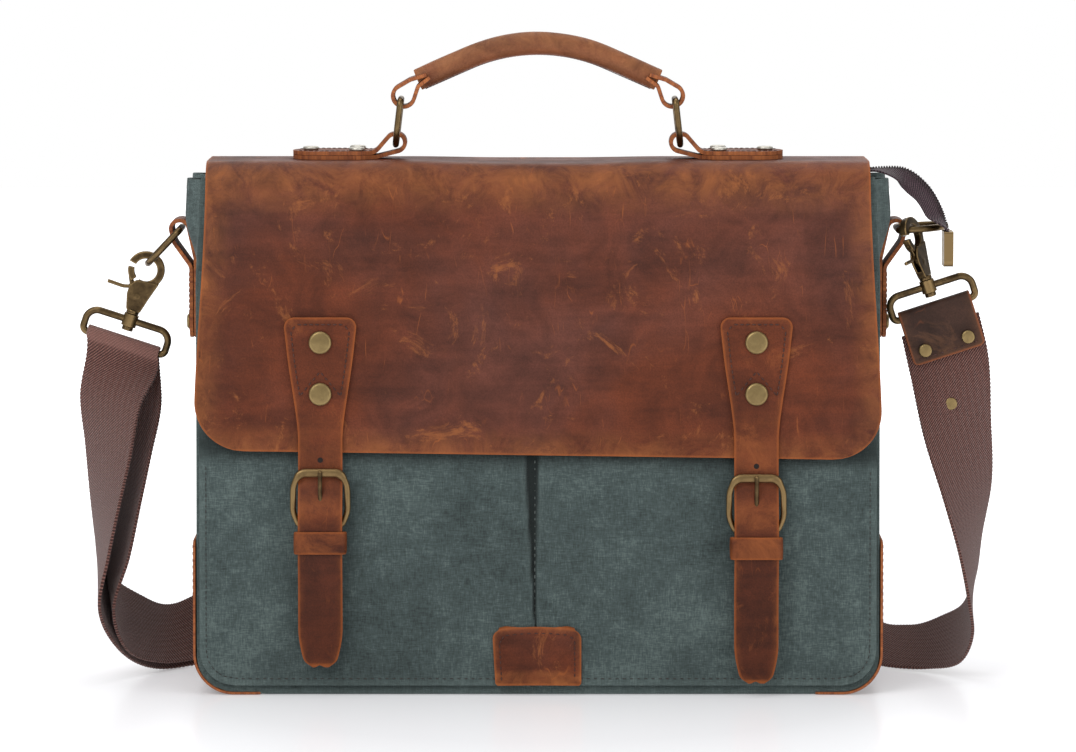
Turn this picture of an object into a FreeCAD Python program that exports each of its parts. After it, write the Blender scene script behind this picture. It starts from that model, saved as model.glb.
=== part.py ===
import FreeCAD, Part
import math
import os

# Satchel bag, in millimetres. X is to the right of someone facing it, Y is back, Z is up.
# The origin is the middle of the base, on the floor.

V = FreeCAD.Vector

# driving dimensions of the bag body
body_half = 190.0
body_half_top = 187.0
base_half_depth = 50.0
panel_height = 288.0
back_panel_height = 283.5
gusset_height = 284.0
lean = math.degrees(math.atan(18.0 / 284.0))
canvas = 1.5
flap_leather = 2.4
flap_top_z = 294.8

# closures: centre of each buckled strap, and how much lower the right one is buckled
closure_x = {"left": -120.6, "right": 121.0}
closure_drop = {"left": 0.0, "right": 3.0}
tail_end = {"left": 17.7, "right": 8.6}
rivet_heights = (196.6, 168.0)
bar_height = 94.0
bar_stand_off = 7.4
bar_radius = 1.6
buckle_tilt = 4.6

# carrying handle
ring_radius = 12.0
ring_wire = 3.5
handle_pivot_z = 315.7

# shoulder strap and its hardware
webbing_width = 45.0
webbing_thickness = 2.0
d_wire = 3.8
strap_ring_wire = 4.0

front_frame = FreeCAD.Placement(V(0, -base_half_depth, 0), FreeCAD.Rotation(V(1, 0, 0), -lean))
back_frame = FreeCAD.Placement(V(0, base_half_depth, 0), FreeCAD.Rotation(V(1, 0, 0), lean))
lean_sine = math.sin(math.radians(lean))
lean_cosine = math.cos(math.radians(lean))


# ---- shapes that the parts share ----

def corner(before, at, after, radius):
    back = (before - at).normalize()
    ahead = (after - at).normalize()
    half = back.getAngle(ahead) / 2
    run = radius / math.tan(half)
    inward = (back + ahead).normalize()
    centre = at + inward * (radius / math.sin(half))
    return [at + back * run, centre - inward * radius, at + ahead * run]


def edges_through(points, radii, closed):
    """Straight edges between points, joined by tangent arcs of the given radii."""
    points = [V(*point) for point in points]
    count = len(points)
    stations = []
    for index, point in enumerate(points):
        radius = radii[index] if isinstance(radii, list) else radii
        if radius == 0 or (not closed and index in (0, count - 1)):
            stations.append([point])
        else:
            stations.append(corner(points[index - 1], point, points[(index + 1) % count], radius))
    edges = []
    for index, station in enumerate(stations):
        if len(station) == 3:
            edges.append(Part.Arc(*station).toShape())
        if closed or index < count - 1:
            ahead = stations[(index + 1) % count][0]
            if station[-1].distanceToPoint(ahead) > 1e-5:
                edges.append(Part.LineSegment(station[-1], ahead).toShape())
    return edges


def face_through(points, radii):
    return Part.Face(Part.Wire(edges_through(points, radii, True)))


def slab_y(points, radii, near, far):
    """A rounded outline of (x, z) points, from y = near to y = far."""
    face = face_through([(x, near, z) for x, z in points], radii)
    return face.extrude(V(0, far - near, 0))


def slab_z(points, radii, low, high):
    """A rounded outline of (x, y) points, from z = low to z = high."""
    face = face_through([(x, y, low) for x, y in points], radii)
    return face.extrude(V(0, 0, high - low))


def slab_x(points, radii, left, right):
    """A rounded outline of (y, z) points, from x = left to x = right."""
    face = face_through([(left, y, z) for y, z in points], radii)
    return face.extrude(V(right - left, 0, 0))


def mitred(points, distance):
    """A polyline of flat points moved to its left by distance."""
    moved = []
    for index, point in enumerate(points):
        normals = []
        for start in (index - 1, index):
            if 0 <= start < len(points) - 1:
                run = points[start + 1] - points[start]
                normals.append(V(-run.y, run.x, 0).normalize())
        if len(normals) == 1:
            moved.append(point + normals[0] * distance)
        else:
            reach = distance / (1 + normals[0].dot(normals[1]))
            moved.append(point + (normals[0] + normals[1]) * reach)
    return moved


def band_outline(points, radii, thickness):
    """Outline and corner radii of a strip of even thickness along a centre-line."""
    flat = [V(u, v, 0) for u, v in points]
    half = thickness / 2
    outline = []
    outline_radii = []
    for side in (1, -1):
        edge = [(point.x, point.y) for point in mitred(flat, side * half)]
        edge_radii = []
        for index, radius in enumerate(radii):
            if radius == 0 or index in (0, len(radii) - 1):
                edge_radii.append(0)
                continue
            turn = (flat[index] - flat[index - 1]).cross(flat[index + 1] - flat[index]).z
            edge_radii.append(max(0, radius - side * math.copysign(half, turn)))
        outline += edge[::side]
        outline_radii += edge_radii[::side]
    return outline, outline_radii


def band_y(points, radii, thickness, near, far):
    outline, outline_radii = band_outline(points, radii, thickness)
    return slab_y(outline, outline_radii, near, far)


def band_x(points, radii, thickness, left, right):
    outline, outline_radii = band_outline(points, radii, thickness)
    return slab_x(outline, outline_radii, left, right)


def rod(points, radii, diameter, closed=False):
    """A round bar along straight runs joined by tangent arcs."""
    runs = []
    for edge in edges_through(points, radii, closed):
        start = edge.valueAt(edge.FirstParameter)
        heading = edge.tangentAt(edge.FirstParameter)
        section = Part.Face(Part.Wire(Part.makeCircle(diameter / 2, start, heading)))
        if isinstance(edge.Curve, Part.Circle):
            sweep = math.degrees(edge.LastParameter - edge.FirstParameter)
            runs.append(section.revolve(edge.Curve.Center, edge.Curve.Axis, sweep))
        else:
            runs.append(section.extrude(edge.valueAt(edge.LastParameter) - start))
    return fused(runs)


def disc(radius, start, end):
    """A round bar between two points."""
    start = V(*start)
    run = V(*end) - start
    return Part.makeCylinder(radius, run.Length, start, run)


def dome(radius, height, base, direction):
    """A rivet cap: a short rim and a domed top, standing on base."""
    rim = height * 0.3
    rise = height - rim
    sphere_radius = (radius ** 2 + rise ** 2) / (2 * rise)
    crown = Part.Arc(V(radius, 0, rim),
                     V(radius * 0.55, 0, height - sphere_radius
                       + math.sqrt(sphere_radius ** 2 - (radius * 0.55) ** 2)),
                     V(0, 0, height)).toShape()
    sides = [Part.LineSegment(V(0, 0, 0), V(radius, 0, 0)).toShape(),
             Part.LineSegment(V(radius, 0, 0), V(radius, 0, rim)).toShape(),
             crown,
             Part.LineSegment(V(0, 0, height), V(0, 0, 0)).toShape()]
    cap = Part.Face(Part.Wire(sides)).revolve(V(0, 0, 0), V(0, 0, 1), 360)
    cap.Placement = FreeCAD.Placement(V(*base), FreeCAD.Rotation(V(0, 0, 1), V(*direction)))
    return cap


def fused(shapes):
    if len(shapes) == 1:
        return shapes[0]
    return shapes[0].multiFuse(shapes[1:]).removeSplitter()


def without(shape, holes):
    return shape.cut(fused(holes)) if holes else shape


def placed(shape, frame):
    moved = shape.copy()
    moved.Placement = frame.multiply(moved.Placement)
    return moved


def on_front(shape):
    return placed(shape, front_frame)


def beyond(point, direction):
    """Everything on one side of a plane, as a block far larger than the bag."""
    size = 900
    block = Part.makeBox(size, size, size, V(-size / 2, -size / 2, 0))
    block.Placement = FreeCAD.Placement(V(*point), FreeCAD.Rotation(V(0, 0, 1), V(*direction)))
    return block


def strap_sections(stations):
    """Cross-sections of a flat strap through pairs of edge points (near edge, far edge)."""
    nears = [V(*near) for near, far in stations]
    fars = [V(*far) for near, far in stations]
    middles = [(near + far) * 0.5 for near, far in zip(nears, fars)]
    wires = []
    for index in range(len(stations)):
        ahead = middles[min(index + 1, len(stations) - 1)]
        behind = middles[max(index - 1, 0)]
        normal = (fars[index] - nears[index]).cross(ahead - behind).normalize()
        half = normal * (webbing_thickness / 2)
        wires.append(Part.makePolygon([nears[index] - half, fars[index] - half,
                                       fars[index] + half, nears[index] + half,
                                       nears[index] - half]))
    return wires


def ribbon(sections):
    return Part.makeLoft(sections, True, True)


def export(name, shape):
    for solid in shape.Solids:
        if not solid.isValid():
            print("INVALID", name)
    print(name, len(shape.Solids), "solid(s)", round(shape.Volume), "mm3")
    shape.exportStep("parts/" + name + ".step")


# ---- bag body ----

def body_outline(low, inset, high):
    """The front view of the body, with the sides drawing in towards the top."""
    bottom = body_half - inset
    top = body_half_top - inset
    return [(-bottom, low), (bottom, low), (bottom, 230), (top, high), (-top, high), (-bottom, 230)]


def between_panels(inset):
    """The wedge of space between the front and back panels, less an inset at each."""
    low = -5
    high = 310
    depth = base_half_depth - inset / lean_cosine
    bottom = depth - low * lean_sine / lean_cosine
    top = depth - high * lean_sine / lean_cosine
    return slab_x([(-bottom, low), (bottom, low), (top, high), (-top, high)], 0, -250, 250)


def front_panel():
    points = body_outline(0.3, 0, panel_height)
    return on_front(slab_y(points, [21.5, 21.5, 40, 2, 2, 40], 1.7, 1.7 + canvas))


def back_panel():
    points = body_outline(0.3, 0, back_panel_height)
    panel = slab_y(points, [21.5, 21.5, 40, 2, 2, 40], -1.7 - canvas, -1.7)
    return placed(panel, back_frame)


def pocket_panel():
    """The front pocket's outer panel, with its centre pleat and the holes of the two snaps."""
    panel = slab_y([(-187.5, 6), (187.5, 6), (187.5, 236), (-187.5, 236)], [20, 20, 0, 0], 0, canvas)
    pleat = slab_y([(-2, 38.9), (0, 38.9), (0, 236), (-7, 236)], 0, -0.8, 0)
    holes = []
    for side in ("left", "right"):
        z = snap_height(side)
        holes.append(disc(1.6, (closure_x[side], -1, z), (closure_x[side], 2.5, z)))
    return on_front(panel.fuse(pleat).cut(fused(holes)))


def gusset(side):
    points = [(side * 186, gusset_height), (side * 189, 230), (side * 189, 2.8), (side * 153, 2.8)]
    strip = band_y(points, [0, 40, 20, 0], 2, -60, 60)
    holes = [disc(2.05, (side * 180, y, z), (side * 200, y, z)) for y, z in tab_rivets()]
    return strip.common(between_panels(3.35)).cut(fused(holes))


def corner_guard(side):
    points = [(side * 191, 86), (side * 191, 0.8), (side * 153, 0.8)]
    return band_y(points, [0, 22, 0], 1.6, -60, 60).common(between_panels(3.35))


def base_panel():
    plate = slab_y([(-152.6, 0), (152.6, 0), (152.6, 3.8), (-152.6, 3.8)], 0, -60, 60)
    return plate.common(between_panels(3.35))


def lining():
    outer_radii = [18.4, 18.4, 40, 0, 0, 40]
    outer = slab_y(body_outline(4.4, 2.6, 282), outer_radii, -60, 60).common(between_panels(3.7))
    inner_radii = [17.7, 17.7, 40, 0, 0, 40]
    inner = slab_y(body_outline(5.1, 3.3, 300), inner_radii, -60, 60).common(between_panels(4.4))
    return outer.cut(inner)


def centre_patch():
    points = [(-25.4, 5.5), (24, 5.5), (24, 35.8), (12, 38.5), (-13.4, 38.5), (-25.4, 35.8)]
    return on_front(slab_y(points, [2, 2, 5, 20, 20, 5], -1.8, -0.05))


# ---- zip ----

zip_half = 176.0
slider_x = -165.0
tooth_pitch = 5.0


def zip_tape(side):
    near = 2.6 * side
    far = 28.3 * side
    return slab_z([(-zip_half, near), (zip_half, near), (zip_half, far), (-zip_half, far)], 0,
                  285.0, 286.2)


def zip_teeth():
    """Interlocked teeth, left and right in turn, on the two cords that hold them."""
    cord = Part.makeBox(2 * zip_half, 1.6, 1.4, V(-zip_half, -0.8, 285.0))
    teeth = []
    count = int(2 * zip_half / tooth_pitch) - 1
    for index in range(count):
        x = -zip_half + (index + 0.75) * tooth_pitch
        side = 1 if index % 2 else -1
        near = min(-0.9 * side, 2.4 * side)
        teeth.append(Part.makeBox(3.2, 3.3, 2.2, V(x, near, 284.6)))
    return fused([cord] + teeth)


def zip_slider():
    """The slider's two plates, above and below the teeth, and the bridge that holds the pull."""
    points = [(-170, -3.6), (-166, -5.5), (-160, -4.6), (-160, 4.6), (-166, 5.5), (-170, 3.6)]
    upper = slab_z(points, 0.8, 286.95, 288.4)
    lower = slab_z(points, 0.8, 282.6, 284.3)
    bridge = slab_y([(-168.5, 287.5), (-161, 287.5), (-161, 291.4), (-168.5, 291.4)],
                    [0, 0, 1.8, 1.8], -1, 1)
    window = slab_y([(-167, 288.3), (-162.5, 288.3), (-162.5, 290.5), (-167, 290.5)], 0.6, -2, 2)
    return Part.makeCompound([upper.fuse(bridge).cut(window), lower])


def zip_pull():
    """The puller: a pin in the slider's bridge, two arms and a flat tongue."""
    z = 289.4
    pin = disc(0.7, (slider_x + 0.3, -2.8, z), (slider_x + 0.3, 2.8, z))
    tongue = slab_z([(-166, -3.6), (-150, -3.6), (-143, -3), (-143, 3), (-150, 3.6), (-166, 3.6)],
                    [0.6, 3, 2.4, 2.4, 3, 0.6], z - 0.7, z + 0.7)
    window = slab_z([(-167, -1.6), (-159.5, -1.6), (-159.5, 1.6), (-167, 1.6)], 0, 280, 300)
    eye = slab_z([(-149.5, -1.4), (-145, -1.4), (-145, 1.4), (-149.5, 1.4)], 1.2, 280, 300)
    return fused([tongue.cut(window), pin]).cut(eye)


def zip_tail():
    """The free end of the zip's tape, which runs on past the body and turns down."""
    middles = [(178, 0, 288.6), (205, -3, 290.5), (217, -9, 281), (224.5, -17, 268), (227.6, -22, 258)]
    half_widths = [13, 12, 10.5, 9.5, 9]
    stations = []
    for (x, y, z), half in zip(middles, half_widths):
        stations.append(((x, y - half, z), (x, y + half, z)))
    return ribbon(strap_sections(stations))


def zip_end_clamp():
    """Folded metal end over the tape: two jaws with the tape between them."""
    outline = [(-31.4, 237.5), (-12.6, 237.5), (-12.6, 257), (-31.4, 257)]
    return slab_x(outline, [3, 3, 1, 1], 225.4, 230.6)


# ---- flap ----

flap_half_top = 184.0
flap_half_low = 191.0
flap_edge = {-1: 136.7, 1: 131.3}
flap_front_offset = 3.7
flap_back_offset = -0.3
flap_corner_radius = 13.0
flap_back_low = 240.0


def flap_line(offset, t):
    """Point (y, z) at height t along the front plane, offset outwards."""
    y = -base_half_depth + t * lean_sine - offset * lean_cosine
    return y, t * lean_cosine + offset * lean_sine


def flap_corner(offset):
    """Where the flap's front or back centre-line would meet its top's, as (distance, z)."""
    t = (flap_top_z - offset * lean_sine) / lean_cosine
    return flap_line(offset, t)


def flap_edge_at(x):
    share = (x + flap_half_low) / (2 * flap_half_low)
    return flap_edge[-1] + share * (flap_edge[1] - flap_edge[-1])


def flap_strip():
    """The whole flap in side view: back strip, top and front as one bent strip of leather."""
    front_y, corner_z = flap_corner(flap_front_offset)
    back_y = -flap_corner(flap_back_offset)[0]
    low_y, low_z = flap_line(flap_front_offset, 120)
    back_low_y, back_low_z = flap_line(flap_back_offset, flap_back_low)
    points = [(low_y, low_z), (front_y, corner_z), (back_y, corner_z), (-back_low_y, back_low_z)]
    return points


def flap_outline():
    left = flap_edge[-1]
    right = flap_edge[1]
    return [(-flap_half_low, left), (flap_half_low, right), (flap_half_top, 296), (flap_half_top, 330),
            (-flap_half_top, 330), (-flap_half_top, 296)]


def handle_tab_rivets():
    places = []
    for side in (-1, 1):
        for x, y in ((127, 0), (101, 9), (101, -9)):
            places.append((side * x, y))
    return places


def flap_pieces():
    """The flap's leather split at the middle of its two bends, where it folds open."""
    points = flap_strip()
    strip = band_x(points, [0, flap_corner_radius, flap_corner_radius, 0], flap_leather, -200, 200)
    trim = on_front(slab_y(flap_outline(), [28, 28, 30, 0, 0, 30], -60, 160))
    leather = strip.common(trim)
    corner_front = V(0, points[1][0], points[1][1])
    corner_back = V(0, points[2][0], points[2][1])
    inward_front = bisector(points[0], points[1], points[2])
    inward_back = bisector(points[1], points[2], points[3])
    rise = V(0, 0, 1)
    forward = V(1, 0, 0).cross(inward_front)
    backward = inward_back.cross(V(1, 0, 0))
    forward = forward if forward.dot(rise) < 0 else forward * -1
    backward = backward if backward.dot(rise) < 0 else backward * -1
    gap = 0.15
    front_half = leather.common(beyond((0, 0, 0), (0, -1, 0)))
    back_half = leather.common(beyond((0, 0, 0), (0, 1, 0)))
    front = front_half.common(beyond(corner_front + forward * gap, forward))
    back = back_half.common(beyond(corner_back + backward * gap, backward))
    top_front = front_half.cut(beyond(corner_front - forward * gap, forward))
    top_back = back_half.cut(beyond(corner_back - backward * gap, backward))
    top = fused([top_front, top_back])
    holes = [disc(1.6, (x, y, 290), (x, y, 300)) for x, y in handle_tab_rivets()]
    top = without(top, holes)
    strap_holes = []
    for side in ("left", "right"):
        for t in rivet_heights:
            strap_holes.append(on_front(disc(2.1, (closure_x[side], 0, t), (closure_x[side], -12, t))))
    front = without(front, strap_holes)
    return back, top, front


def bisector(before, at, after):
    back = (V(0, *before) - V(0, *at)).normalize()
    ahead = (V(0, *after) - V(0, *at)).normalize()
    return (back + ahead).normalize()


# ---- buckled closures ----

strap_thickness = 2.6
strap_rest = 6.3
strap_over_bar = 12.2
strap_half = 12.2
frame_half = 1.75
prong_tilt = 11.3


def snap_height(side):
    return 61.5 - closure_drop[side]


def strap_upper(side):
    """The wide, shaped part of a closure strap, riveted to the flap."""
    x = closure_x[side]
    low = flap_edge_at(x)
    half_outline = [(strap_half, low), (strap_half, 147), (15.2, 161), (18.4, 183), (19.8, 210.5)]
    right = [(x + half, t) for half, t in half_outline]
    left = [(x - half, t) for half, t in reversed(half_outline)]
    radii = [0, 18, 0, 0, 6, 6, 0, 0, 18, 0]
    outer = strap_rest + strap_thickness / 2
    plate = slab_y(right + left, radii, -outer, -outer + strap_thickness)
    holes = [disc(2.1, (x, 0, t), (x, -12, t)) for t in rivet_heights]
    return on_front(plate.cut(fused(holes)))


def flap_strap_rivets():
    pieces = []
    outer = strap_rest + strap_thickness / 2 + 0.05
    inner = flap_front_offset - flap_leather / 2 - 0.05
    for x in closure_x.values():
        for t in rivet_heights:
            cap = dome(6.35, 2.3, (x, -outer, t), (0, -1, 0))
            shank = disc(2.0, (x, -outer - 0.2, t), (x, -inner + 0.2, t))
            washer = disc(5.0, (x, -inner, t), (x, -inner + 0.9, t))
            pieces.append(on_front(fused([cap, shank, washer])))
    return Part.makeCompound(pieces)


def strap_lower(side):
    """The free part of a closure strap, over the buckle's bar and down through the keeper."""
    x = closure_x[side]
    drop = closure_drop[side]
    top = flap_edge_at(x) - 0.3
    end = tail_end[side]
    points = [(-strap_rest, top), (-strap_rest, 121 - drop), (-strap_over_bar, 101 - drop),
              (-strap_over_bar, 79 - drop), (-9.0, 60 - drop), (-8.0, end)]
    radii = [0, 14, 14, 20, 20, 0]
    strap = band_x(points, radii, strap_thickness, x - strap_half, x + strap_half)
    tip = 12.0
    outline = [(x - 5.5, end - 3), (x + 5.5, end - 3), (x + strap_half, end + tip), (x + strap_half, 140),
               (x - strap_half, 140), (x - strap_half, end + tip)]
    trim = slab_y(outline, [3, 3, 6, 0, 0, 6], -40, 40)
    slot = slab_y([(x - 1.7, 98 - drop), (x + 1.7, 98 - drop), (x + 1.7, 114 - drop),
                   (x - 1.7, 114 - drop)], 1.6, -30, 0)
    hole = disc(1.7, (x, -20, top - 3.0), (x, 0, top - 3.0))
    return on_front(strap.common(trim).cut(slot).cut(hole))


def buckle_frame(side):
    """A rectangular roller-less buckle: rails, a bevelled top bar and the bar that holds the prong."""
    points = [(-13.5, -2), (13.5, -2), (16.2, 1.5), (16.2, 32.5), (-16.2, 32.5), (-16.2, 1.5)]
    plate = slab_y(points, [0, 0, 1, 1.5, 1.5, 1], -frame_half, frame_half)
    opening = slab_y([(-12.6, -5), (12.6, -5), (12.6, 27.5), (-12.6, 27.5)], 0, -5, 5)
    profile = [(0.5, 28.0), (0.5, 32.0), (-1.2, 32.0), (-2.1, 31.0), (-2.1, 29.0), (-1.2, 28.0)]
    top_bar = slab_x(profile, 0, -15.2, 15.2)
    bar = disc(bar_radius, (-14.5, 0, 0), (14.5, 0, 0))
    frame = fused([plate.cut(opening), top_bar, bar])
    return placed(frame, buckle_place(side, buckle_tilt))


def buckle_place(side, tilt):
    seat = V(closure_x[side], -bar_stand_off, bar_height - closure_drop[side])
    turn = FreeCAD.Placement(seat, FreeCAD.Rotation(V(1, 0, 0), tilt))
    return front_frame.multiply(turn)


def buckle_prong(side):
    """The prong: an eye round the bar and a pin that rests on the top bar."""
    eye = disc(3.0, (-1.5, 0, 0), (1.5, 0, 0)).cut(disc(bar_radius + 0.05, (-2, 0, 0), (2, 0, 0)))
    pin = disc(1.2, (0, 0, 2.2), (0, 0, 31.6))
    tip = Part.makeSphere(1.2, V(0, 0, 31.6))
    prong = fused([eye, pin, tip]).cut(disc(bar_radius + 0.05, (-2, 0, 0), (2, 0, 0)))
    return placed(prong, buckle_place(side, prong_tilt))


def keeper(side):
    """The loop that holds the strap's tail down."""
    x = closure_x[side]
    drop = closure_drop[side]
    outer = slab_z([(x - 14.4, -15.4), (x + 14.4, -15.4), (x + 14.4, -2.2), (x - 14.4, -2.2)], 2.6,
                   80.0 - drop, 91.6 - drop)
    inner = slab_z([(x - 12.7, -13.8), (x + 12.7, -13.8), (x + 12.7, -3.8), (x - 12.7, -3.8)], 1.2,
                   70 - drop, 100 - drop)
    return on_front(outer.cut(inner))


def buckle_chape(side):
    """The leather folded round the buckle's bar, which carries the hidden snap."""
    x = closure_x[side]
    drop = closure_drop[side]
    top = bar_height - drop
    low = 49 - drop
    back = 4.95
    front = 9.85
    lap = 6.6
    points = [(-back, low), (-back, top + 2.45), (-front, top + 2.45), (-front, top - 6),
              (-lap, top - 17), (-lap, low)]
    strip = band_x(points, [0, 2.44, 2.44, 8, 8, 0], 1.5, x - 11.9, x + 11.9)
    slot = slab_y([(x - 2.1, top - 3.8), (x + 2.1, top - 3.8), (x + 2.1, top + 8), (x - 2.1, top + 8)],
                  0, -30, 5)
    trim = slab_y([(x - 11.9, low - 1), (x + 11.9, low - 1), (x + 11.9, 110), (x - 11.9, 110)],
                  [6, 6, 0, 0], -40, 40)
    z = snap_height(side)
    hole = disc(1.6, (x, -8, z), (x, 0, z))
    return on_front(strip.common(trim).cut(slot).cut(hole))


def snap_stud(side):
    x = closure_x[side]
    z = snap_height(side)
    plate = disc(7.0, (x, -4.1, z), (x, -2.2, z))
    pin = disc(2.1, (x, -2.4, z), (x, -0.9, z))
    shank = disc(1.5, (x, -7.2, z), (x, -4.0, z))
    return on_front(fused([plate, pin, shank]))


def snap_sockets():
    pieces = []
    for side in ("left", "right"):
        x = closure_x[side]
        z = snap_height(side)
        plate = disc(7.0, (x, -2.0, z), (x, -0.05, z)).cut(disc(2.3, (x, -2.5, z), (x, -0.7, z)))
        shank = disc(1.5, (x, -0.3, z), (x, 1.4, z))
        pieces.append(on_front(fused([plate, shank])))
    return Part.makeCompound(pieces)


# ---- carrying handle ----

tab_loop = (79.6, 303.4)
tab_leather = 2.2


def handle_tab(side):
    """A leather tab folded over the handle's ring and riveted to the flap's top."""
    low = 297.25
    high = low + tab_leather + 0.2
    x, z = tab_loop
    reach = 5.4
    points = [(side * 137, low), (side * (x - reach), low), (side * (x - reach), z + reach),
              (side * (x + reach), z + reach), (side * (x + reach + 2.5), high), (side * 137, high)]
    band = band_y(points, [0, 5.3, 5.3, 5.3, 1.5, 0], tab_leather, -20, 20)
    outline = [(side * 137, -16), (side * 95, -16), (side * 86, -6), (side * 70, -6), (side * 70, 6),
               (side * 86, 6), (side * 95, 16), (side * 137, 16)]
    trim = slab_z(outline, [15.9, 5, 5, 0, 0, 5, 5, 15.9], 290, 320)
    holes = [disc(1.6, (tx, ty, 290), (tx, ty, 305)) for tx, ty in handle_tab_rivets()]
    return band.common(trim).cut(fused(holes))


def handle_tab_rivet_group():
    pieces = []
    under = flap_top_z - flap_leather / 2 - 0.05
    over = 297.25 + tab_leather + 0.2 + tab_leather / 2 + 0.05
    for x, y in handle_tab_rivets():
        cap = dome(4.5, 1.9, (x, y, over), (0, 0, 1))
        shank = disc(1.5, (x, y, under - 0.2), (x, y, over + 0.3))
        washer = disc(4.0, (x, y, under - 0.8), (x, y, under))
        pieces.append(fused([cap, shank, washer]))
    return Part.makeCompound(pieces)


def handle_ring(side):
    """A D-shaped ring: its half-round side runs in the tab's loop, its bar holds the handle."""
    height = 25.3
    ring = rod([(0, -ring_radius, height), (0, ring_radius, height), (0, ring_radius, 0),
                (0, -ring_radius, 0)], [2.6, 2.6, 11.99, 11.99], ring_wire, True)
    tilt = FreeCAD.Rotation(V(0, 1, 0), -side * 6.6)
    seat = V(side * tab_loop[0], 0, handle_pivot_z - ring_radius)
    return placed(ring, FreeCAD.Placement(seat, tilt))


def handle_path(end):
    return [(-end, 0, 369.3 - end * 0.4391), (0, 0, 369.3), (end, 0, 369.3 - end * 0.4391)]


def handle_grip():
    """The grip's leather tube, stitched round the core."""
    path = handle_path(67.2)
    return rod(path, [0, 98, 0], 12.8).cut(rod(handle_path(70), [0, 98, 0], 8.4))


def handle_core():
    return rod(handle_path(66.5), [0, 98, 0], 8.0)


def handle_loop(side):
    """The leather loop that joins the grip to its ring."""
    start = V(-69.6, 338.6)
    down = V(-0.64, -0.768)
    across = V(-0.768, 0.64)
    middle = V(-74.5, 331.5)
    points = []
    for along, sideways in ((0, 2.6), (1, 9.0), (1, -9.0), (0, -2.6)):
        base = start if along == 0 else middle + down * 6.5
        point = base + across * sideways
        points.append((-side * point.x, point.y))
    return band_y(points, [0, 5.8, 5.8, 0], 2.3, -9, 9)


# ---- side tabs, rings and hooks ----

hook_lean = 18.0
eye_height = 29.7
eye_outer = 10.6
eye_inner = 6.4
pin_height = 14.0


def tab_rivets():
    return [(-6.0, 205.0), (6.0, 205.0)]


def d_ring_tab(side):
    """A leather tab folded over the D-ring and riveted to the gusset."""
    points = [(-191.4, 196), (-191.4, 240), (-196.5, 263.5), (-206, 260), (-203.5, 249.5),
              (-193.9, 236), (-193.9, 196)]
    points = [(-side * x, z) for x, z in points]
    tab = band_y(points, [0, 10, 5, 4.5, 4.5, 6, 0], 2.3, -11, 11)
    holes = [disc(2.05, (side * 180, y, z), (side * 200, y, z)) for y, z in tab_rivets()]
    return tab.cut(fused(holes))


def d_ring_tab_rivets():
    pieces = []
    for side in (-1, 1):
        for y, z in tab_rivets():
            cap = dome(4.5, 1.9, (side * 195.1, y, z), (side, 0, 0))
            shank = disc(2.0, (side * 187.6, y, z), (side * 195.3, y, z))
            washer = disc(4.0, (side * 187.4, y, z), (side * 187.95, y, z))
            pieces.append(fused([cap, shank, washer]))
    return Part.makeCompound(pieces)


d_ring_place = {
    "left": FreeCAD.Placement(V(-200.3, 0, 256.5), FreeCAD.Rotation(V(0, 1, 0), -136.5)),
    "right": FreeCAD.Placement(V(201.6, 0, 256.5), FreeCAD.Rotation(V(0, 1, 0), 86.0)),
}
d_depth = 26.7


def d_ring(side):
    """A D-ring: its straight bar in the tab, its round end outwards."""
    ring = rod([(0, -15, 0), (0, 15, 0), (0, 15, d_depth), (0, -15, d_depth)],
               [2.6, 2.6, 14.99, 14.99], d_wire, True)
    return placed(ring, d_ring_place[side])


hook_place = {
    "left": FreeCAD.Placement(V(-229.1, 0, 205.0), FreeCAD.Rotation(V(0, 1, 0), hook_lean)),
    "right": FreeCAD.Placement(V(217.8, -15, 225.4), FreeCAD.Rotation(V(0, 1, 0), -hook_lean)),
}
hook_turn = {"left": 0.0, "right": 62.0}


def hook_frame(side):
    turn = FreeCAD.Placement(V(0, 0, 0), FreeCAD.Rotation(V(0, 0, 1), hook_turn[side]))
    return hook_place[side].multiply(turn)


def sector(inner, outer, start, end, half_thickness):
    """Part of a flat ring round the hook's eye, between two angles in degrees."""
    centre = V(0, -half_thickness, eye_height)

    def at(radius, angle):
        turn = math.radians(angle)
        return centre + V(radius * math.cos(turn), 0, radius * math.sin(turn))

    middle = (start + end) / 2
    edges = [Part.Arc(at(outer, start), at(outer, middle), at(outer, end)).toShape(),
             Part.LineSegment(at(outer, end), at(inner, end)).toShape(),
             Part.Arc(at(inner, end), at(inner, middle), at(inner, start)).toShape(),
             Part.LineSegment(at(inner, start), at(outer, start)).toShape()]
    return Part.Face(Part.Wire(edges)).extrude(V(0, 2 * half_thickness, 0))


def hook_body(side):
    """The trigger hook's body: eye, cheeks, trigger pin, collar and swivel post."""
    eye = sector(eye_inner, eye_outer, -110, 167, 2.0)
    body = slab_y([(-4, 5.5), (4, 5.5), (6.3, 14), (9.4, 24), (4.5, 23.5), (-3.6, 22.6), (-6.2, 18.5),
                   (-6.3, 14)], [1, 1, 8, 0, 0, 0, 1, 6], -2.5, 2.5)
    inside = disc(eye_inner, (0, -5, eye_height), (0, 5, eye_height))
    slot = Part.makeBox(12.0, 2.6, 14.0, V(-9.0, -1.3, 9.5))
    gate_room = sector(eye_inner - 1, eye_outer + 3, 170, 236, 5)
    collar = disc(3.6, (0, 0, 3.7), (0, 0, 6.0))
    post = disc(2.1, (0, 0, -6.0), (0, 0, 4.0))
    head = disc(3.2, (0, 0, -6.0), (0, 0, -3.7))
    pin = disc(1.5, (0, -2.7, pin_height), (0, 2.7, pin_height))
    shell = body.cut(inside).cut(gate_room).cut(slot)
    return placed(fused([shell, eye.cut(slot), collar, post, head, pin]), hook_frame(side))


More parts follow.
